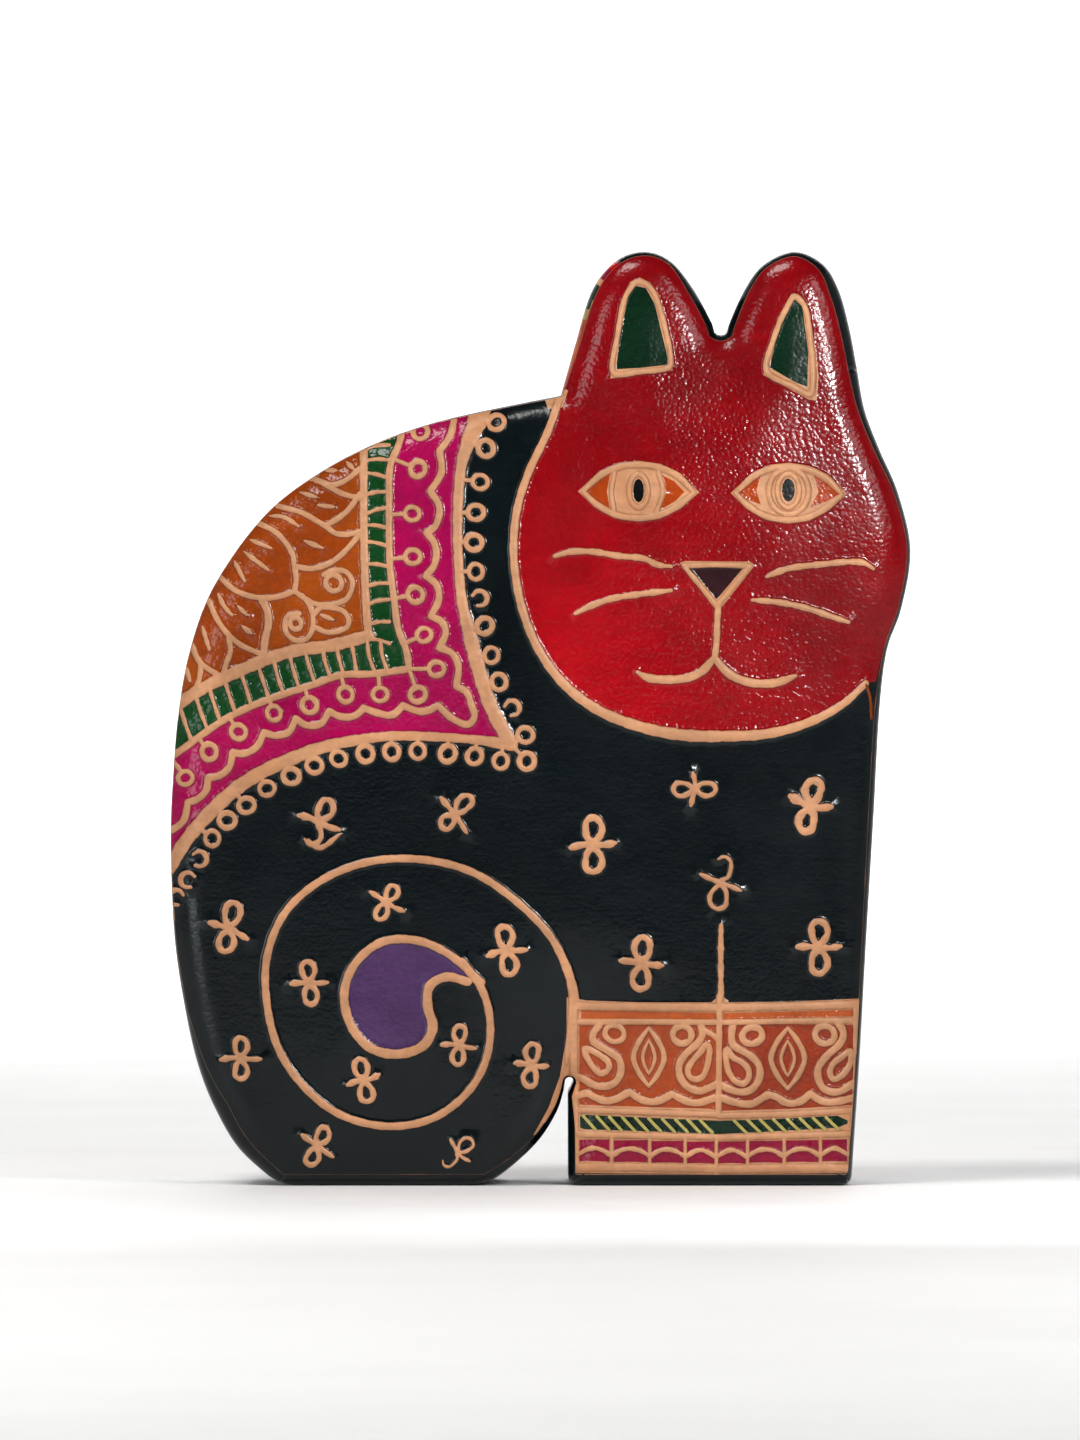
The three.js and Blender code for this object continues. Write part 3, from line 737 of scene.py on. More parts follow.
def tail():
    inner_turn = through(TAIL)[20 * CURVE_STEPS::6]
    field("purple", [(-11.4, 33.2), (-9.8, 32.2), *inner_turn])
    line(TAIL, widths=[(0, 0.8), (0.05, 0.62), (0.66, 0.62), (0.8, 0.7), (0.93, 0.8), (1, 0.7)])
    line([(-12.6, 36), (-11.2, 34.3), (-9.5, 32.6)], 0.6)
    field("tan", [(5.0, 34), (4.2, 33), (4.6, 29), (4.0, 23), (3.1, 17.5), (1.3, 12.5),
                  (-1.2, 8), (0.6, 8.6), (3.0, 13), (4.2, 17.6), (5.4, 17.4), (5.4, 30)])
    line([(5.1, 31), (4.7, 25), (4.1, 19.5)], 0.5, taper=(1, 0.4))
    lines([[(-7, 2.2), (-5.2, 4)], [(-42.9, 2.6), (-42, 2.2)]], 0.22)


def knots():
    knot(-35.5, 58.3, 8.8, 7.4, tilt=-25, open_loop=-1, lift=(-0.4, 0.3))
    line([(-37.3, 55.3), (-35.4, 54.2), (-32.2, 56.4)], 0.42, taper=(1, 0.5), uneven=0.2)
    knot(-13.8, 59.6, 7.6, 7.2, tilt=-42, lift=(0.5, -0.9), upper=0.56)
    knot(24.7, 63.6, 7.6, 5.6, tilt=90, lift=(0.6, 0.3), width=0.4)
    knot(43.2, 60.9, 9.6, 7.2, tilt=-12, width=0.62, lift=(0.9, 0.6))
    knot(8.45, 54.7, 9.8, 7.6, lift=(-0.5, 0.3))
    knot(28.9, 48.6, 9.2, 7.2, tilt=-8, width=0.38, open_loop=1, lift=(0.9, -0.8))
    knot(-24.7, 45.4, 6.8, 6.6, tilt=-28, lift=(0.3, 0.1))
    knot(-50, 41.2, 9.0, 6.9, tilt=-12, lift=(0.3, -1.0), upper=0.53)
    knot(-5.4, 37.7, 8.8, 6.8, tilt=8, lift=(-0.4, -0.3))
    knot(44.7, 38.2, 9.5, 7.4, lift=(0.1, 0.2))
    knot(16.2, 35.7, 9.4, 7.2, tilt=-3, lift=(0.2, -0.2))
    knot(-37.1, 32.5, 7.8, 6.2, tilt=6, lift=(0.2, -0.2))
    knot(-13.1, 22.5, 7.1, 5.8, tilt=-4, lift=(-0.1, -0.3))
    knot(-48.1, 20.4, 7.5, 6.8, lift=(-0.2, -0.1))
    knot(-28.4, 16.9, 7.9, 5.6, tilt=12, lift=(-0.2, 0.4))
    knot(-1.5, 19.3, 7.8, 5.6, tilt=-5, lift=(0.1, 0.1))
    knot(-35.8, 6.3, 7.4, 6.3, tilt=-25, lift=(0.6, -0.5))
    knot(-13.3, 5.3, 6.6, 5.0, tilt=-48, width=0.27, open_loop=-1, lift=(0.5, 0.5))


def cuff_ground():
    field("tan", [(4.0, 2.0), (4.2, 30.2), (7.5, 29.7), (16, 29.4), (27.4, 29.4), (28.3, 30.2),
                  (29.5, 30.2), (30.2, 29.4), (40, 29.5), (51.6, 30), (51.6, 2), (29, 1.8)])
    band("stripe", [(6.5, 28.1), (17, 27.9), (28.3, 27.7)],
         [(6.5, 26.8), (17, 26.75), (28.3, 26.7)])
    band("stripe", [(29.3, 27.7), (40, 27.9), (50.4, 28.2)],
         [(29.3, 26.65), (40, 26.9), (50.4, 27.15)])
    field("rust", [(6.2, 25.7), (17, 25.8), (28.1, 25.75), (28.1, 12.3), (17, 12.6), (6.2, 12.95)])
    field("rust_red", [(29.1, 25.75), (40, 25.9), (50.2, 25.8), (50.2, 12.9), (40, 12.3),
                       (29.1, 12)])
    band("cuff_green", [(6.3, 11.0), (7, 11.35), (17, 10.9), (28.6, 10.4)],
         [(6.3, 9.3), (7, 9), (17, 8.7), (28.6, 8.25)])
    band("cuff_green", [(28.5, 10.4), (36, 10.6), (42, 10.9), (47.6, 11.2), (49.3, 10.4)],
         [(28.5, 8.25), (36, 8.6), (42, 8.95), (47.6, 9.25), (49.3, 9.9)])
    line([(28.95, 41.8), (28.9, 36), (28.95, 30)], 0.46, uneven=0.25, taper=(0.7, 1))
    line([(28.7, 30.4), (28.6, 20), (28.5, 11.6)], 0.5)
    line([(28.2, 2.4), (28.2, 0.8)], 0.35, taper=(1, 0.4))
    lines([
        [(5.2, 28.8), (17, 28.65), (28.4, 28.6)], [(28.8, 28.6), (40, 28.75), (50.9, 29.1)],
        [(5.4, 2.9), (17, 2.95), (28, 2.7)], [(28.6, 2.6), (40, 2.8), (50.6, 2.8)],
    ], 0.62)
    lines([
        [(6.2, 26.25), (17, 26.3), (28.4, 26.2)], [(28.8, 26.2), (40, 26.4), (50.4, 26.5)],
        [(6, 12.1), (17, 11.8), (28.4, 11.4)], [(28.8, 11.2), (40, 11.5), (50.3, 12.1)],
        [(6, 8.2), (17, 8), (28.2, 7.8)], [(28.6, 7.7), (40, 8), (49.8, 8.3)],
    ], 0.46)
    lines([[(5.3, 29), (5.35, 16), (5.5, 3)], [(50.75, 29), (50.7, 16), (49.9, 3)]], 0.6)


def cuff_stripes():
    for x in (6.8, 9, 11, 13.1, 15.2, 17.3, 19.5, 21.6, 23.6, 25.6):
        drop = (x - 6.4) / 22
        slanted(x, 11.2 - 0.8 * drop, 8.95 - 0.6 * drop, 2.0, 0.24, "yellow")
    for x in (31, 33.2, 35.2, 37.3, 39.5, 41.6, 43.7, 45.8):
        rise = (x - 29) / 19
        slanted(x, 10.4 + 0.6 * rise, 8.4 + 0.7 * rise, 2.0, 0.24, "yellow")
    for x0, x1, drop in ((6.2, 11.05, 0), (11.75, 17.2, 0.1), (17.8, 22.9, 0.2),
                         (23.5, 27.9, 0.3), (28.5, 32.9, 0.3), (33.5, 38.8, 0.2),
                         (39.4, 44.6, 0.1), (45.2, 49.2, 0)):
        field("cuff_magenta", [(x0, 7.35 - drop), (x1, 7.4 - drop), (x1, 3.8 - drop),
                               ((x0 + x1) / 2, 3.9 - drop), (x0, 3.85 - drop)])
        line([(x0 - 0.1, 5.0 - drop), (x0 + 1.2, 5.75 - drop), ((x0 + x1) / 2, 6.0 - drop),
              (x1 - 1.2, 5.7 - drop), (x1 + 0.1, 4.95 - drop)], 0.38, step=0.4, uneven=0.25)
    for x in (11.4, 17.5, 23.2, 28.2, 33.2, 39.1, 44.9):
        line([(x, 7.9), (x, 3.2)], 0.27, step=0.5, uneven=0.2)


def cuff_curls():
    lines([
        [(9.5, 25.9), (8.4, 24.3), (8.4, 23.3), (9.3, 22.5), (10.4, 21.9), (11.5, 21.2),
         (12.5, 20.4), (12.9, 19.1), (12.7, 17.7), (12, 16.6), (10.9, 16), (9.4, 15.9),
         (8, 16.4), (6.9, 17.05), (5.8, 17.4)],
        [(25.7, 25.9), (25.95, 24.3), (25.3, 23), (24.2, 22), (22.9, 20.7), (22.2, 19.3),
         (22.3, 17.7), (23.1, 16.3), (24.2, 15.5), (25.6, 15.2), (26.9, 15.6), (28.3, 16.3)],
        [(30.85, 25.9), (30.6, 23.95), (30.85, 22.7), (31.8, 21.9), (33.1, 21.2), (34.2, 20.4),
         (35, 19.3), (35.2, 17.9), (34.7, 16.4), (33.6, 15.3), (32.1, 15), (30.5, 15.4),
         (28.9, 16.2)],
        [(47.7, 26.2), (48.5, 24.9), (48.55, 23.8), (47.8, 22.5), (46.55, 21.4), (45.3, 20.1),
         (44.5, 18.7), (44.6, 17.05), (45.4, 15.6), (46.9, 15), (48.3, 15.2), (50.2, 16.4)],
    ], 0.6, step=0.42)
    line([(26.3, 24.9), (27.7, 24.1), (28.5, 23.4)], 0.45)
    for drop in (
        [(7.05, 22), (8.5, 21.5), (9.8, 20.7), (10.8, 19.9), (11, 19), (10.4, 18.2), (9.6, 18),
         (8.65, 18.7), (7.85, 19.8), (7.2, 21.1)],
        [(26.6, 22.7), (25.6, 21.4), (24.2, 19.8), (23.6, 18.5), (24, 17.4), (25, 17.05),
         (25.95, 17.5), (26.6, 18.8), (27, 20.7), (27.1, 22)],
        [(29.9, 21.9), (30.85, 20.6), (32.3, 19.8), (33.3, 18.7), (33.4, 17.4), (32.6, 16.4),
         (31.3, 16.7), (30.2, 18.2), (29.8, 19.8), (29.7, 21.1)],
        [(49.75, 21.6), (48.3, 20.6), (46.9, 19.5), (46.4, 18.2), (47, 17.05), (48.15, 17.5),
         (49.1, 18.5), (49.8, 19.9)],
    ):
        line(drop, 0.5, closed=True, step=FINE_STEP)


def cuff_buds():
    for x, z, outer, hole in ((11.85, 24.4, 2.0, 1.1), (22.7, 24.2, 2.1, 1.05),
                              (33.95, 24.1, 2.15, 1.05), (45.6, 24.2, 2.15, 1.1)):
        ring(x, z, outer, hole, squash=0.85)
    for x, z, across, up in ((17.35, 20.6, 2.45, 4.7), (39.65, 20.4, 2.7, 4.9)):
        for reach_x, reach_z, width in ((across, up, 0.45), (across * 0.4, up * 0.58, 0.3)):
            upper = [(x, z + reach_z), (x + reach_x * 0.62, z + reach_z * 0.55),
                     (x + reach_x, z), (x + reach_x * 0.62, z - reach_z * 0.55),
                     (x, z - reach_z)]
            line(upper, width, taper=(0.6, 0.6), step=FINE_STEP)
            line([(2 * x - a, b) for a, b in upper], width, taper=(0.6, 0.6), step=FINE_STEP)
    scalloped([(5.9, 14.4), (7.4, 14.8), (8.65, 14.2), (10.4, 13.6), (12, 13.8), (13.3, 14.5),
               (14.3, 15, 1), (15.4, 14.2), (16.8, 13.6), (18.4, 13.45), (19.7, 13.9),
               (21.1, 14.7, 1), (22.4, 14), (23.9, 13.4), (25.3, 13.3), (26.8, 13.7),
               (28.4, 14.2)], 0.6)
    scalloped([(28.9, 14.1), (30.7, 13.5), (32.45, 13.1), (34.2, 13.2), (35.5, 14),
               (36.6, 14.6, 1), (37.9, 14.2), (39.2, 13.4), (40.6, 13.2), (42.05, 13.7),
               (43.3, 14.8, 1), (44.3, 14), (45.9, 13.4), (47.8, 13.5), (50.3, 14.1)], 0.6)


def draw_design():
    """Lines and fields of the front and of the back, which has all but the face."""
    for draw in (blanket, green_bars, flower, magenta_rings, fringe, head, ear_insides, tail,
                 knots, cuff_ground, cuff_stripes, cuff_curls, cuff_buds):
        draw()
    back = list(LINES), list(FIELDS)
    eyes()
    face()
    return (LINES, FIELDS), back


# ---------------------------------------------------------------- meshes
class Sieve:
    """Keeps points apart: a new one is dropped if a kept one is too near."""

    CELL = 0.6

    def __init__(self):
        self.kept, self.points = {}, []

    def key(self, x, z):
        return math.floor(x / self.CELL), math.floor(z / self.CELL)

    def near(self, x, z, gap):
        reach = math.ceil(gap / self.CELL)
        a, b = self.key(x, z)
        for i in range(a - reach, a + reach + 1):
            for j in range(b - reach, b + reach + 1):
                for u, v in self.kept.get((i, j), ()):
                    if (u - x) ** 2 + (v - z) ** 2 < gap * gap:
                        return True
        return False

    def add(self, x, z):
        self.kept.setdefault(self.key(x, z), []).append((x, z))
        self.points.append((x, z))
        return len(self.points) - 1

    def offer(self, points, gap):
        for x, z in points:
            if not self.near(x, z, gap):
                self.add(float(x), float(z))


def add_loop(sieve, edges, polygon):
    indices = [sieve.add(float(x), float(z)) for x, z in polygon]
    edges.extend(zip(indices, indices[1:] + indices[:1]))


def subdivided(polygon, step):
    """A polygon with points added so that no edge is much longer than step."""
    points = []
    for start, end in zip(polygon, np.roll(polygon, -1, axis=0)):
        pieces = max(1, int(math.ceil(np.linalg.norm(end - start) / step)))
        points.extend(start + (end - start) * k / pieces for k in range(pieces))
    return np.array(points)


def lattice(low, high, spacing):
    """A hexagonal grid of points."""
    rows = np.arange(low[1], high[1], spacing * math.sqrt(0.75))
    return [(x, z) for k, z in enumerate(rows)
            for x in np.arange(low[0] + (k % 2) * spacing / 2, high[0], spacing)]


def crossing(a, b, c, d):
    """Where two segments cross, or None."""
    one, two, gap = b - a, d - c, c - a
    area = one[0] * two[1] - one[1] * two[0]
    if abs(area) < 1e-12:
        return None
    share = (gap[0] * two[1] - gap[1] * two[0]) / area
    other = (gap[0] * one[1] - gap[1] * one[0]) / area
    return a + share * one if 0 <= share <= 1 and 0 <= other <= 1 else None


def without_loops(rim):
    """Cuts off the small loops that an inset makes at sharp corners."""
    start, longest = 45, 30  # points: a start on a smooth stretch, and the longest loop looked for
    points = list(np.roll(rim, -start, axis=0))
    k = 0
    while k < len(points) - 3:
        for ahead in range(min(longest, len(points) - k - 2), 1, -1):
            place = crossing(points[k], points[k + 1], points[k + ahead], points[k + ahead + 1])
            if place is not None:
                points[k + 1:k + ahead + 1] = [place]
                break
        k += 1
    return np.array(points)


def triangles(sieve, edges, rim, merge):
    """Points and triangles inside the rim, and the numbers of the sieve's points at each point."""
    made = delaunay_2d_cdt([Vector(p) for p in sieve.points], edges, [], 0, merge, True)
    points = np.array([tuple(p) for p in made[0]])
    faces = np.array([tuple(f) for f in made[2]])
    return points, faces[inside(rim, points[faces].mean(axis=1))], made[3]


def sheet_plan(rim, raised, fields):
    """Triangles of a sheet in the plane: its rim, lines and fields have edges of their own."""
    sieve, edges = Sieve(), []
    add_loop(sieve, edges, rim)
    low, high = rim.min(axis=0), rim.max(axis=0)
    for item in raised:
        for loop in item.outlines():
            add_loop(sieve, edges, loop)
    for _, polygon, sharp in fields:
        if sharp:
            polygon = np.clip(polygon, low - 2, high + 2)
            add_loop(sieve, edges, subdivided(polygon, 1.2))
    for item in raised:
        if item.paint == "tan":
            for share in LINE_ROWS:
                sieve.offer(item.row(share), LINE_GAP)
    for inset in RIM_ROWS:
        sieve.offer(OUTLINE + INWARD * inset, RIM_GAP)
    sieve.offer(lattice(low, high, GRID), GRID_GAP)
    return triangles(sieve, edges, rim, 1e-5)[:2]


def line_nearness(points, raised, block=10):
    """Distance to the nearest raised line's middle, in half-widths, and that line's number.

    A line is taken a block of stations at a time, each with only the points around it.
    """
    best = np.full(len(points), FAR)
    owner = np.full(len(points), -1)
    for number, item in enumerate(raised):
        count = len(item.points)
        ends = count if item.closed else count - 1
        for low in range(0, ends, block):
            index = np.arange(low, min(low + block, ends))
            start, end = item.points[index], item.points[(index + 1) % count]
            wide, wide_end = item.widths[index], item.widths[(index + 1) % count]
            reach = 2.5 * max(wide.max(), wide_end.max())
            box_low = np.minimum(start, end).min(axis=0) - reach
            box_high = np.maximum(start, end).max(axis=0) + reach
            close = np.nonzero(np.all((points > box_low) & (points < box_high), axis=1))[0]
            if not len(close):
                continue
            along = end - start
            gap = points[close][:, None] - start[None]
            t = np.clip(np.sum(gap * along, axis=2)
                        / np.maximum(np.sum(along ** 2, axis=1), 1e-12), 0, 1)
            distance = np.linalg.norm(gap - t[..., None] * along, axis=2)
            ratio = (distance / (wide + (wide_end - wide) * t)).min(axis=1)
            better = ratio < best[close]
            best[close[better]] = ratio[better]
            owner[close[better]] = number
    return best, owner


def rim_loop(faces):
    """The mesh's open edge as one ordered loop of vertex numbers."""
    following = {}
    edges = {(a, b) for f in faces.tolist() for a, b in zip(f, f[1:] + f[:1])}
    for a, b in edges:
        if (b, a) not in edges:
            following[a] = b
    start = next(iter(following))
    loop, here = [start], following[start]
    while here != start and len(loop) <= len(following):
        loop.append(here)
        here = following[here]
    return loop


def paint_faces(middles, raised, fields):
    """Each triangle's paint, by its number in PAINTS."""
    names = list(PAINTS)
    chosen = np.full(len(middles), names.index("black"))
    for paint, polygon, _ in fields:
        chosen[inside(polygon, middles)] = names.index(paint)
    ratio, owner = line_nearness(middles, raised)
    for number in np.nonzero(ratio < 1)[0]:
        chosen[number] = names.index(raised[owner[number]].paint)
    return chosen


def new_object(name, vertices, faces, material, smooth=True):
    """A mesh object from millimetres. It is parented to nothing."""
    mesh = bpy.data.meshes.new(name)
    mesh.from_pydata([tuple(v * MM) for v in np.asarray(vertices, float)], [],
                     [tuple(map(int, f)) for f in faces])
    mesh.update()
    if smooth:
        mesh.polygons.foreach_set("use_smooth", [True] * len(mesh.polygons))
    mesh.materials.append(material)
    made = bpy.data.objects.new(name, mesh)
    bpy.context.scene.collection.objects.link(made)
    return made


def store_paint(mesh, colours, tan, nearness):
    """Each face's paint and share of bare hide, and each point's nearness to a line."""
    sizes = np.zeros(len(mesh.polygons), int)
    mesh.polygons.foreach_get("loop_total", sizes)
    opaque = np.column_stack((colours, np.ones(len(colours))))
    layer = mesh.color_attributes.new("paint", "FLOAT_COLOR", "CORNER")
    layer.data.foreach_set("color", np.repeat(opaque, sizes, axis=0).ravel())
    layer = mesh.attributes.new("tan", "FLOAT", "CORNER")
    layer.data.foreach_set("value", np.repeat(np.asarray(tan, float), sizes))
    layer = mesh.attributes.new("nearness", "FLOAT", "POINT")
    layer.data.foreach_set("value", np.asarray(nearness, float))


def shaded_paint(chosen, middles):
    """Colours of the triangles. The red is brightest low on the left cheek."""
    colours = np.array(list(PAINTS.values()))[chosen]
    red = chosen == list(PAINTS).index("red")
    drop = np.clip((126 - middles[:, 1]) / 48, 0, 1) * np.clip((50 - middles[:, 0]) / 48, 0.1, 1)
    colours[red] *= (0.48 + 0.52 * drop[red])[:, None]
    return colours


def outward_steps(rim):
    """At each point of a closed rim, the step that moves it 1 mm out of the sheet."""
    ahead = np.roll(rim, -1, axis=0) - np.roll(rim, 1, axis=0)
    ahead /= np.linalg.norm(ahead, axis=1, keepdims=True)
    turning = np.sum(rim[:, 0] * np.roll(rim[:, 1], -1) - np.roll(rim[:, 0], -1) * rim[:, 1])
    return np.column_stack((ahead[:, 1], -ahead[:, 0])) * np.sign(turning)


def leather_sheet(name, side, material, raised, fields):
    """The front (side -1) or back (side 1) leather, with its raised and painted design."""
    rim = without_loops(OUTLINE + INWARD * lip_widths(side)[:, None])
    points, faces = sheet_plan(rim, raised, fields)
    loop = rim_loop(faces)
    used = np.unique(faces)
    renumber = np.full(len(points), -1)
    renumber[used] = np.arange(len(used))
    points, faces, loop = points[used], renumber[faces], renumber[loop]
    middles = points[faces].mean(axis=1)
    chosen = paint_faces(middles, raised, fields)
    tan = (chosen == list(PAINTS).index("tan")).astype(float)
    ratio, _ = line_nearness(points, raised)
    out = skin_out(points) + RELIEF * (1 - smoothstep(0.45, 1.4, ratio))

    edge, outward = points[loop], outward_steps(points[loop])
    levels, count, size = [loop], len(points), len(loop)
    heights = [np.column_stack((points[:, 0], side * out, points[:, 1]))]
    wall = []
    for push, sink in WALL:
        place = edge + outward * push
        heights.append(np.column_stack((place[:, 0], side * (out[loop] - sink), place[:, 1])))
        levels.append(np.arange(count, count + size))
        count += size
        upper, lower = levels[-2:]
        wall += np.column_stack((upper, lower, np.roll(lower, -1), np.roll(upper, -1))).tolist()
    inside_points, lining = lining_faces(heights[-1], levels[-1], count, side)
    vertices = np.vstack([*heights, inside_points])

    beside = shaded_paint(paint_faces(edge - outward * 0.5, raised, fields), edge)
    raw = np.array(PAINTS["raw"])
    # the cut edge's colour: partly bare hide, partly a painted highlight along the rim
    cut_edge = np.tile(EDGE_BARE_AND_HIGHLIGHT * raw + (1 - EDGE_BARE_AND_HIGHLIGHT) * beside, (len(WALL), 1))
    colours = np.vstack([shaded_paint(chosen, middles), cut_edge, [raw] * len(lining)])
    hidden = np.full(len(vertices) - len(points), 0.6)
    made = new_object(name, vertices, faces.tolist() + wall + lining, material)
    store_paint(made.data, colours, np.concatenate((tan, np.ones(len(wall) + len(lining)))),
                np.concatenate((ratio, hidden)))
    tidy_normals(made)
    return made


def lining_faces(rim, numbers, first, side):
    """The hidden inside of a sheet, a plain surface from its rim."""
    plan = rim[:, (0, 2)]
    sieve, edges = Sieve(), []
    add_loop(sieve, edges, plan)
    sieve.offer(lattice(plan.min(axis=0), plan.max(axis=0), 7), 2.5)
    points, faces, given = triangles(sieve, edges, plan, 1e-7)
    number_of, extra = {}, []
    for index, originals in enumerate(given):
        on_rim = [o for o in originals if o < len(numbers)]
        if on_rim:
            number_of[index] = numbers[on_rim[0]]
        else:
            number_of[index] = first + len(extra)
            extra.append(points[index])
    extra = np.array(extra)
    out = skin_out(extra) - LINING_DEPTH
    vertices = np.column_stack((extra[:, 0], side * out, extra[:, 1]))
    return vertices, [tuple(number_of[k] for k in f[::-1]) for f in faces.tolist()]


def tidy_normals(target):
    """Makes every face of a closed mesh point outwards."""
    work = bmesh.new()
    work.from_mesh(target.data)
    bmesh.ops.recalc_face_normals(work, faces=work.faces)
    work.to_mesh(target.data)
    work.free()


# ---------------------------------------------------------------- edge strips
def strip_section():
    """Cross-section of a strip: (inset, distance from the mid-plane) round its outside."""
    under_the_leather = 62  # degrees round the edge, where the front or back leather covers it
    half = [(EDGE_RADIUS * (1 - math.cos(a)),
             HALF_DEPTH - EDGE_RADIUS + (RISE - HIDE) * math.sin(a))
            for a in np.radians(np.linspace(under_the_leather, 0, 9))]
    half += [(0.0, out) for out in np.linspace(HALF_DEPTH - EDGE_RADIUS, 0, 8)[1:]]
    return half + [(inset, -out) for inset, out in half[-2::-1]]


def edge_strip(name, first, last, material, tone):
    """One leather strip round the edge, between two marks; tone(share, out) gives its paint."""
    indices = (first + np.arange((last - first) % len(SOFT) + 1)) % len(SOFT)
    middle = SOFT[indices]
    for end, near in ((0, 1), (-1, -2)):
        away = middle[near] - middle[end]
        middle[end] += away / np.linalg.norm(away) * STRIP_GAP
    step = SOFT_INWARD[indices]
    section = strip_section()
    rows, count = len(section), len(indices)
    vertices = []
    for layer in (0, 1):
        for inset, out in section:
            thick = STRIP_THICK * layer
            lean = math.asin(min(1, max(0, (abs(out) - (HALF_DEPTH - EDGE_RADIUS))
                                        / (RISE - HIDE))))
            place = middle + step * (inset + thick * math.cos(lean))
            depth = out - math.copysign(thick * math.sin(lean), out)
            vertices.append(np.column_stack((place[:, 0], np.full(count, depth), place[:, 1])))
    vertices = np.vstack(vertices)
    faces, tones = [], []
    run = np.concatenate(([0], np.cumsum(np.linalg.norm(np.diff(middle, axis=0), axis=1))))
    last_row, last_k = rows - 1, count - 1

    def quad(paint, *corners):
        faces.append(tuple((layer * rows + row) * count + k for layer, row, k in corners))
        tones.append(paint)

    for row in range(last_row):
        for k in range(last_k):
            paint = tone((run[k] + run[k + 1]) / 2 / run[-1],
                         (section[row][1] + section[row + 1][1]) / 2)
            quad(paint, (0, row, k), (0, row, k + 1), (0, row + 1, k + 1), (0, row + 1, k))
    for row in range(last_row):
        for k in range(last_k):
            quad("raw", (1, row, k), (1, row + 1, k), (1, row + 1, k + 1), (1, row, k + 1))
    for k in range(last_k):
        quad("raw", (0, 0, k), (1, 0, k), (1, 0, k + 1), (0, 0, k + 1))
        quad("raw", (0, last_row, k + 1), (1, last_row, k + 1), (1, last_row, k), (0, last_row, k))
    for row in range(last_row):
        quad("edge", (0, row, 0), (0, row + 1, 0), (1, row + 1, 0), (1, row, 0))
        quad("edge", (0, row + 1, last_k), (0, row, last_k), (1, row, last_k), (1, row + 1, last_k))
    made = new_object(name, vertices, faces, material)
    store_paint(made.data, np.array([PAINTS[t] for t in tones]),
                [0.5 if t in ("raw", "tan") else 0 for t in tones], np.full(len(vertices), FAR))
    tidy_normals(made)
    return made


def cut(target, cutter):
    """Takes the cutter's shape out of the target's mesh."""
    modifier = target.modifiers.new("cut", "BOOLEAN")
    modifier.operation, modifier.object, modifier.solver = "DIFFERENCE", cutter, "EXACT"
    graph = bpy.context.evaluated_depsgraph_get()
    mesh = bpy.data.meshes.new_from_object(target.evaluated_get(graph),
                                           preserve_all_data_layers=True, depsgraph=graph)
    target.modifiers.clear()
    target.data = mesh
    bpy.data.objects.remove(cutter)


def prism(outline, low, high, material):
    """An upright prism, for cutting."""
    count = len(outline)
    vertices = [(x, y, z) for z in (low, high) for x, y in outline]
    faces = [tuple(range(count))[::-1], tuple(range(count, 2 * count))]
    for k in range(count):
        n = (k + 1) % count
        faces.append((k, n, count + n, count + k))
    made = new_object("cutter", vertices, faces, material, smooth=False)
    store_paint(made.data, np.array([PAINTS["cut"]] * len(faces)), [0.5] * len(faces),
                np.full(len(vertices), FAR))
    return made


def all_black(share, out):
    return "black"


def spine_tone(share, out):
    """Black with a tan line beside the front leather near the neck."""
    return "tan" if share > 0.8 and out > 0 and abs(out) > HALF_DEPTH - 3.6 else "black"


def ear_tone(share, out):
    """Bands across the strip up the left ear."""
    bands = [(0.1, "rust"), (0.42, "stripe"), (0.5, "rust"), (0.56, "tan"), (0.6, "straw"),
             (0.64, "deep_green"), (0.68, "straw"), (0.78, "deep_green"), (0.82, "tan"),
             (0.93, "cuff_magenta"), (2, "red")]
    slant = share + 0.02 * math.sin(out * 0.5)
    return next(paint for end, paint in bands if slant < end)


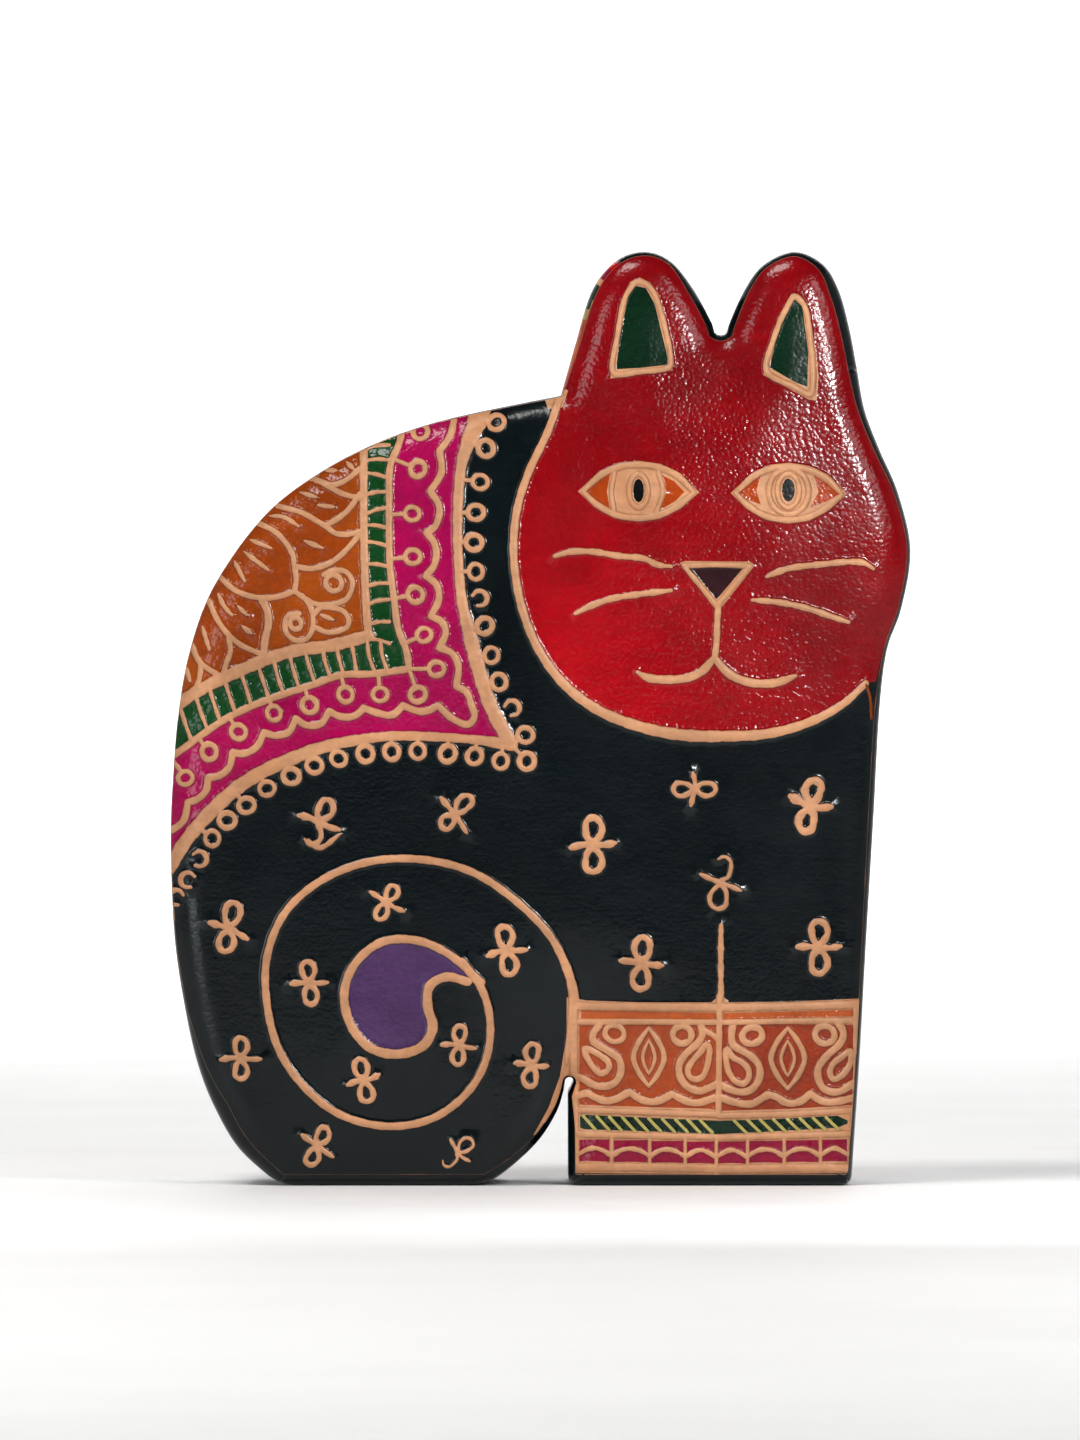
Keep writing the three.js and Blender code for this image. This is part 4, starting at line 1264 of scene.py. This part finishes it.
# ---------------------------------------------------------------- materials
class Shader:
    """A material's node tree with short ways to add nodes."""

    def __init__(self, name):
        self.material = bpy.data.materials.new(name)
        self.material.use_nodes = True
        self.tree = self.material.node_tree
        self.surface = self.tree.nodes["Principled BSDF"]
        self.coordinates = self.add("ShaderNodeTexCoord").outputs["Object"]

    def add(self, kind, **settings):
        node = self.tree.nodes.new(kind)
        for key, value in settings.items():
            setattr(node, key, value)
        return node

    def link(self, source, target):
        if isinstance(source, (int, float)):
            target.default_value = source
        elif isinstance(source, tuple):
            target.default_value = (*source, 1) if len(target.default_value) == 4 else source
        else:
            self.tree.links.new(source, target)

    def stretched(self, x, y, z, turn=0.0):
        node = self.add("ShaderNodeMapping")
        self.link(self.coordinates, node.inputs["Vector"])
        node.inputs["Scale"].default_value = (x, y, z)
        node.inputs["Rotation"].default_value = (0, turn, 0)
        return node.outputs["Vector"]

    def noise(self, scale, detail=2.0, rough=0.5, warp=0.0, vector=None):
        node = self.add("ShaderNodeTexNoise")
        self.link(vector or self.coordinates, node.inputs["Vector"])
        node.inputs["Scale"].default_value = scale
        node.inputs["Detail"].default_value = detail
        node.inputs["Roughness"].default_value = rough
        node.inputs["Distortion"].default_value = warp
        return node.outputs["Fac"]

    def pebbles(self, scale, warp_scale, warp):
        """Distance from the middle of each of many rounded cells, a little out of shape."""
        drift = self.add("ShaderNodeTexNoise")
        self.link(self.coordinates, drift.inputs["Vector"])
        drift.inputs["Scale"].default_value = warp_scale
        shift = self.add("ShaderNodeVectorMath", operation="SCALE")
        self.link(drift.outputs["Color"], shift.inputs[0])
        shift.inputs["Scale"].default_value = warp
        warped = self.add("ShaderNodeVectorMath", operation="ADD")
        self.link(self.coordinates, warped.inputs[0])
        self.link(shift.outputs[0], warped.inputs[1])
        node = self.add("ShaderNodeTexVoronoi", feature="SMOOTH_F1")
        self.link(warped.outputs[0], node.inputs["Vector"])
        node.inputs["Scale"].default_value = scale
        return node.outputs["Distance"]

    def maths(self, operation, *values):
        node = self.add("ShaderNodeMath", operation=operation)
        for socket, value in zip(node.inputs, values):
            self.link(value, socket)
        return node.outputs[0]

    def product(self, first, *others):
        for value in others:
            first = self.maths("MULTIPLY", first, value)
        return first

    def span(self, value, low, high, to_low=0.0, to_high=1.0):
        node = self.add("ShaderNodeMapRange", interpolation_type="SMOOTHSTEP")
        for socket, item in zip(node.inputs, (value, low, high, to_low, to_high)):
            self.link(item, socket)
        return node.outputs[0]

    def mix(self, share, first, second, blend="MIX"):
        node = self.add("ShaderNodeMix", data_type="RGBA", blend_type=blend)
        self.link(share, node.inputs[0])
        self.link(first, node.inputs[6])
        self.link(second, node.inputs[7])
        return node.outputs[2]

    def attribute(self, name, output="Fac"):
        return self.add("ShaderNodeAttribute", attribute_name=name).outputs[output]

    def grey(self, value):
        node = self.add("ShaderNodeCombineColor")
        for socket in node.inputs[:3]:
            self.link(value, socket)
        return node.outputs[0]

    def bump(self, height, distance, strength=1.0, under=None):
        node = self.add("ShaderNodeBump")
        self.link(height, node.inputs["Height"])
        node.inputs["Distance"].default_value = distance
        self.link(strength, node.inputs["Strength"])
        if under is not None:
            self.link(under, node.inputs["Normal"])
        return node.outputs["Normal"]

    def set(self, **values):
        for key, value in values.items():
            self.link(value, self.surface.inputs[key.replace("_", " ")])


def leather_colour(s, paint, tan, near):
    """Dye that is uneven and darker just beside the raised lines, and bare hide stained at its
    edges.
    """
    blotch, fine = s.noise(55, 3, 0.6, 0.6), s.noise(900, 3, 0.6)
    streaks = s.noise(1, 3, 0.6, vector=s.stretched(160, 300, 700, 0.5))
    tone = s.product(s.span(blotch, 0.3, 0.7, 0.82, 1.14), s.span(fine, 0.25, 0.75, 0.9, 1.08),
                     s.span(streaks, 0.3, 0.7, 0.93, 1.07))
    # the dyed paint is darkened just outside each raised line's edge
    darker_by_lines = s.span(near, 1.0, 1.5, 0.62, 1.0)
    dyed = s.mix(1.0, paint, s.grey(s.product(tone, darker_by_lines)), "MULTIPLY")
    stain = s.product(s.span(near, 0.72, 1.05, 0.0, 0.7), s.span(near, 1.1, 1.5, 1.0, 0.1),
                      s.span(s.noise(420, 3, 0.6), 0.3, 0.65, 0.35, 1.0))
    bare = s.mix(stain, s.mix(1.0, paint, s.grey(tone), "MULTIPLY"), (0.20, 0.062, 0.022))
    bare = s.mix(s.span(s.noise(130, 2, 0.5), 0.55, 0.72, 0.0, 0.35), bare, (0.42, 0.17, 0.065))
    return s.mix(tan, dyed, bare)


def leather_relief(s, paint, tan):
    """Pebbled grain and creases, flatter on the black paint and on the raised lines."""
    pebbles = s.pebbles(1800, 700, 0.0006)
    grain = s.maths("SUBTRACT", 1.0, s.product(pebbles, pebbles, 1.6))
    creases = s.noise(1, 4, 0.6, 0.4, vector=s.stretched(260, 400, 1500, 0.35))
    patches = s.span(s.noise(28, 1, 0.5), 0.35, 0.65, 0.45, 1.0)
    light = s.add("ShaderNodeRGBToBW")
    s.link(paint, light.inputs[0])
    not_black = s.span(light.outputs[0], 0.006, 0.02, 0.3, 1.0)
    depth = s.product(s.span(tan, 0, 1, 1.0, 0.45), s.product(patches, not_black))
    normal = s.bump(s.noise(230, 2, 0.5), 0.0002, 0.2)
    normal = s.bump(creases, 0.00007, s.product(patches, 0.36), normal)
    return s.bump(grain, 0.000065, depth, normal)


def painted_leather():
    """Dyed and painted goat leather under a gloss lacquer; the raised lines show the bare hide."""
    s = Shader("painted_leather")
    paint, tan = s.attribute("paint", "Color"), s.attribute("tan")
    near = s.attribute("nearness")
    normal = leather_relief(s, paint, tan)
    gloss = s.span(s.noise(90, 3, 0.6), 0.3, 0.7, 0.15, 0.22)
    s.set(Base_Color=leather_colour(s, paint, tan, near), Normal=normal, Coat_Normal=normal,
          Roughness=s.maths("ADD", gloss, s.product(tan, 0.2)), Coat_Roughness=0.14,
          Coat_Weight=s.span(tan, 0, 1, 0.04, 0.02), Specular_IOR_Level=0.24)
    return s.material


def pulp():
    """Grey-brown moulded paper, fibrous and matt."""
    s = Shader("moulded_paper")
    blotch, fibres = s.noise(70, 4, 0.65, 0.5), s.noise(600, 5, 0.7, 1.4)
    base = s.mix(s.span(blotch, 0.3, 0.7), (0.36, 0.30, 0.21), (0.47, 0.41, 0.31))
    colour = s.mix(s.span(fibres, 0.52, 0.66), base, (0.27, 0.21, 0.14))
    s.set(Base_Color=colour, Roughness=s.span(blotch, 0.3, 0.7, 0.82, 0.95),
          Normal=s.bump(fibres, 0.0005, 0.8, s.bump(s.noise(140, 3), 0.0012, 0.6)))
    return s.material


def kraft():
    """Pasted paper tape: pale brown with wrinkles and paste stains."""
    s = Shader("paper_tape")
    wrinkles = s.noise(1, 4, 0.6, 0.8, vector=s.stretched(120, 30, 120))
    base = s.mix(s.span(s.noise(45, 3), 0.35, 0.65), (0.50, 0.41, 0.28), (0.62, 0.54, 0.40))
    s.set(Base_Color=s.mix(s.span(s.noise(500, 3), 0.55, 0.7), base, (0.33, 0.25, 0.16)),
          Roughness=s.span(wrinkles, 0.3, 0.7, 0.7, 0.9), Normal=s.bump(wrinkles, 0.0009, 0.7))
    return s.material


def vinyl():
    """Soft black vinyl: satin, with scuffs and faint turning marks from its mould."""
    s = Shader("stopper_vinyl")
    scuffs = s.noise(1, 4, 0.7, 0.5, vector=s.stretched(220, 220, 900))
    specks = s.noise(1300, 2)
    base = s.mix(s.span(s.noise(120, 3), 0.3, 0.7), (0.012, 0.012, 0.013), (0.024, 0.023, 0.023))
    colour = s.mix(s.span(scuffs, 0.58, 0.75, 0.0, 0.5), base, (0.07, 0.068, 0.065))
    s.set(Base_Color=colour, Roughness=s.span(scuffs, 0.35, 0.7, 0.38, 0.62),
          Normal=s.bump(specks, 0.00008, 0.5, s.bump(scuffs, 0.0001, 0.5)))
    return s.material


def studio_paper():
    """The pale floor and backdrop.

    Behind the cat it glows a little, a painted light, and far in front its colour is darker, a
    painted shade, so the gloss stays clear.
    """
    s = Shader("studio_paper")
    place = s.add("ShaderNodeSeparateXYZ")
    s.link(s.coordinates, place.inputs[0])
    pale = s.mix(s.span(s.noise(9, 3), 0.3, 0.7), (0.86, 0.86, 0.86), (0.89, 0.89, 0.89))
    # painted shade: the floor's colour is darker far in front of the cat
    shaded = s.span(place.outputs["Y"], -2.0, -0.9, 0.7, 0.0)
    s.set(Base_Color=s.mix(shaded, pale, (0.1, 0.1, 0.1)),
          Roughness=s.span(s.noise(40, 2), 0.3, 0.7, 0.55, 0.65),
          Emission_Color=(1.0, 1.0, 1.0),
          Emission_Strength=s.span(place.outputs["Y"], 0.9, 2.8, 0.0, 0.3),
          Normal=s.bump(s.noise(500, 3), 0.0002, 0.2))
    return s.material


# ---------------------------------------------------------------- stopper
def stopper_profile(low, flange_top, top):
    """Half cross-section of the plug, outside then inside: (radius, height) in millimetres."""
    plug, flange, wall = 13.15, 14.95, 1.2
    outside = [(flange - 0.5, low)]
    outside += arc(flange - 0.4, low + 0.4, 0.4, -90, 0, 3)
    outside += arc(flange - 0.35, flange_top - 0.35, 0.35, 0, 90, 3)
    outside += arc(plug + 0.35, flange_top + 0.35, 0.35, -90, -180, 3)
    for ridge in (3.2, 5.2, 7.0):
        outside += [(plug - 0.28, low + ridge - 0.5), (plug, low + ridge),
                    (plug - 0.28, low + ridge + 0.5)]
    outside += arc(plug - 1.1, top - 0.8, 0.8, 0, 90, 4)
    outside += [(6.0, top), (5.4, top - 0.25), (0.0, top - 0.25)]
    roof, bore = top - wall, plug - wall
    inner = [(0.0, roof - 0.2)]
    inner += arc(bore - 0.8, roof - 0.8, 0.8, 90, 0, 4)
    inner += [(bore, low + 0.5), (bore + 0.25, low + 0.1), (flange - 1.0, low)]
    return outside + inner


def lathe(profile, segments, closed=True):
    """Vertices and faces of a profile turned about z; radius 0 gives a pole."""
    vertices, rows = [], []
    for radius, height in profile:
        if radius == 0:
            rows.append([len(vertices)] * segments)
            vertices.append((0, 0, height))
            continue
        rows.append(list(range(len(vertices), len(vertices) + segments)))
        for k in range(segments):
            a = 2 * math.pi * k / segments
            vertices.append((radius * math.cos(a), radius * math.sin(a), height))
    faces = []
    for upper, lower in zip(rows, rows[1:] + rows[:1] if closed else rows[1:]):
        if upper[0] == upper[1] and lower[0] == lower[1]:
            continue
        for k in range(segments):
            n = (k + 1) % segments
            corners = [upper[k], upper[n], lower[n], lower[k]]
            faces.append(tuple(dict.fromkeys(corners)))
    return vertices, faces


def grip_bar(half_length, half_width, low, high):
    """The bar across the stopper's mouth: waisted in the middle, with rounded edges."""
    vertices, faces = [], []
    section = [(-1, -1), (-1, 0.45), (-0.8, 0.82), (-0.4, 1), (0.4, 1), (0.8, 0.82), (1, 0.45),
               (1, -1)]
    stations = np.linspace(-1, 1, 17)
    for t in stations:
        waist = half_width * (0.72 + 0.28 * t * t)
        for across, up in section:
            height = (low + high) / 2 - up * (high - low) / 2
            vertices.append((t * half_length, across * waist, height))
    size = len(section)
    for k in range(len(stations) - 1):
        for j in range(size):
            n = (j + 1) % size
            faces.append((k * size + j, k * size + n, (k + 1) * size + n, (k + 1) * size + j))
    faces += [tuple(range(size)), tuple(range((len(stations) - 1) * size, len(stations) * size))]
    return vertices, faces


def build_stopper(material):
    """Plug and grip as one piece, where the solid one stands at rest."""
    low, top = STOPPER_LOW[2] / MM, STOPPER_HIGH[2] / MM
    cup = lathe(stopper_profile(low, low + 1.0, top), 72)
    bar = grip_bar(12.2, 1.5, low + 0.25, low + 4.1)
    vertices = np.vstack((np.array(cup[0]), np.array(bar[0])))
    vertices[:, 0] += STOPPER_X
    faces = cup[1] + [tuple(k + len(cup[0]) for k in f) for f in bar[1]]
    made = new_object("stopper_vinyl_plug", vertices, faces, material)
    tidy_normals(made)
    bevel = made.modifiers.new("edges", "EDGE_SPLIT")
    bevel.split_angle = math.radians(50)
    return made


# ---------------------------------------------------------------- assembly
def build_cat():
    hide, paper, tape = painted_leather(), pulp(), kraft()
    front_design, back_design = draw_design()
    front = leather_sheet("front_leather", -1, hide, *front_design)
    back = leather_sheet("back_leather", 1, hide, *back_design)
    m = MARKS
    strips = [
        ("spine_strip", "strip_spine", m["haunch_left"], m["neck"], spine_tone),
        ("left_ear_strip", "strip_left_ear", m["neck"], m["ear_tip"], ear_tone),
        ("crown_strip", "strip_crown", m["ear_tip"], m["crown_end"], all_black),
        ("chest_strip", "strip_chest", m["crown_end"], m["leg_right"], all_black),
        ("leg_base", "base_leg", m["leg_right"], m["leg_left"], all_black),
        ("notch_strip", "strip_notch", m["leg_left"], m["haunch_right"], all_black),
        ("haunch_base", "base_haunch", m["haunch_right"], m["haunch_left"], all_black),
    ]
    made = {}
    for name, node, first, last, tone in strips:
        made[name] = edge_strip(name, first, last, hide, tone)
        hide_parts(node)
    cut_openings(made["spine_strip"], made["leg_base"], hide)
    for sheet, node in ((front, "leather_front"), (back, "leather_back")):
        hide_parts(node)
    for piece in [front, back, *made.values()]:
        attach(piece, "cat")
    plug = build_stopper(vinyl())
    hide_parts("stopper")
    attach(plug, "stopper")
    for node, material in (("core_front", paper), ("core_back", paper), ("seam_tape", tape)):
        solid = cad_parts[node]
        solid.data.materials.clear()
        solid.data.materials.append(material)


def cut_openings(spine, leg_base, hide):
    """The coin slot in the back and the stopper's hole in the base."""
    slot = arc(SLOT_X + SLOT_REACH, 0, SLOT_HALF, -90, 90, 8)
    slot += arc(SLOT_X - SLOT_REACH, 0, SLOT_HALF, 90, 270, 8)
    cut(spine, prism(slot, *SLOT_HEIGHTS, hide))
    hole = arc(STOPPER_X, 0, HOLE_RADIUS, 0, 352.5, 47)
    cut(leg_base, prism(hole, *HOLE_HEIGHTS, hide))


# ---------------------------------------------------------------- studio
def backdrop(material):
    """A round floor that curves up into a wall on every side, so that any view has one."""
    floor = -0.1  # just under the cat, so that the two never lie in one plane
    flat, bend, top, around = 2800, 700, 2600, 72
    profile = [(0, floor), (250, floor), (900, floor), (flat, floor),
               *arc(flat, bend, bend, -80, 0, 8), (flat + bend, top)]
    vertices, faces = lathe(profile, around, closed=False)
    made = new_object("backdrop", vertices, [face[::-1] for face in faces], material)


def softbox(name, place, aim, size, power, colour=(1, 1, 1)):
    lamp = bpy.data.lights.new(name, "AREA")
    lamp.shape, lamp.size, lamp.size_y = "RECTANGLE", size[0], size[1]
    lamp.energy, lamp.color = power, colour
    made = bpy.data.objects.new(name, lamp)
    made.location = place
    made.rotation_euler = (Vector(aim) - Vector(place)).to_track_quat("-Z", "Y").to_euler()
    bpy.context.scene.collection.objects.link(made)


def studio():
    backdrop(studio_paper())
    softbox("key", (-0.43, -0.63, 1.12), (0, 0, 0.07), (0.5, 0.4), 10.4, (1.0, 0.98, 0.95))
    softbox("gloss", (0.60, -0.88, 0.46), (0.02, 0, 0.09), (0.24, 0.34), 1.6)
    softbox("glint", (0.115, -0.27, 0.158), (0.05, 0, 0.125), (0.020, 0.020), 0.42)
    softbox("fill", (-0.72, -1.1, 0.12), (-0.03, 0, 0.06), (0.4, 0.7), 5.4, (0.9, 0.96, 1.0))
    softbox("wall", (0.0, 2.0, 2.0), (0, 3.3, 0.1), (3.0, 0.6), 70)
    world = bpy.data.worlds.new("studio")
    world.use_nodes = True
    world.node_tree.nodes["Background"].inputs["Color"].default_value = (1, 1, 1, 1)
    world.node_tree.nodes["Background"].inputs["Strength"].default_value = 0.10
    bpy.context.scene.world = world


def camera():
    """Level and straight ahead, from far off, as in the photo."""
    distance, height_seen, across, up = 2.4, 0.2310, -0.0001, 0.0747
    lens = bpy.data.cameras.new("camera")
    lens.sensor_fit, lens.sensor_height, lens.sensor_width = "VERTICAL", 36, 36
    lens.lens = 36 * distance / height_seen
    lens.clip_start, lens.clip_end = 0.05, 20
    made = bpy.data.objects.new("camera", lens)
    made.location = (across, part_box("leather_front")[0][1] - distance, up)
    made.rotation_euler = (math.radians(90), 0, 0)
    bpy.context.scene.collection.objects.link(made)
    bpy.context.scene.camera = made


build_cat()
studio()
camera()
bpy.context.scene.view_settings.view_transform = "Standard"
bpy.context.scene.view_settings.look = "None"
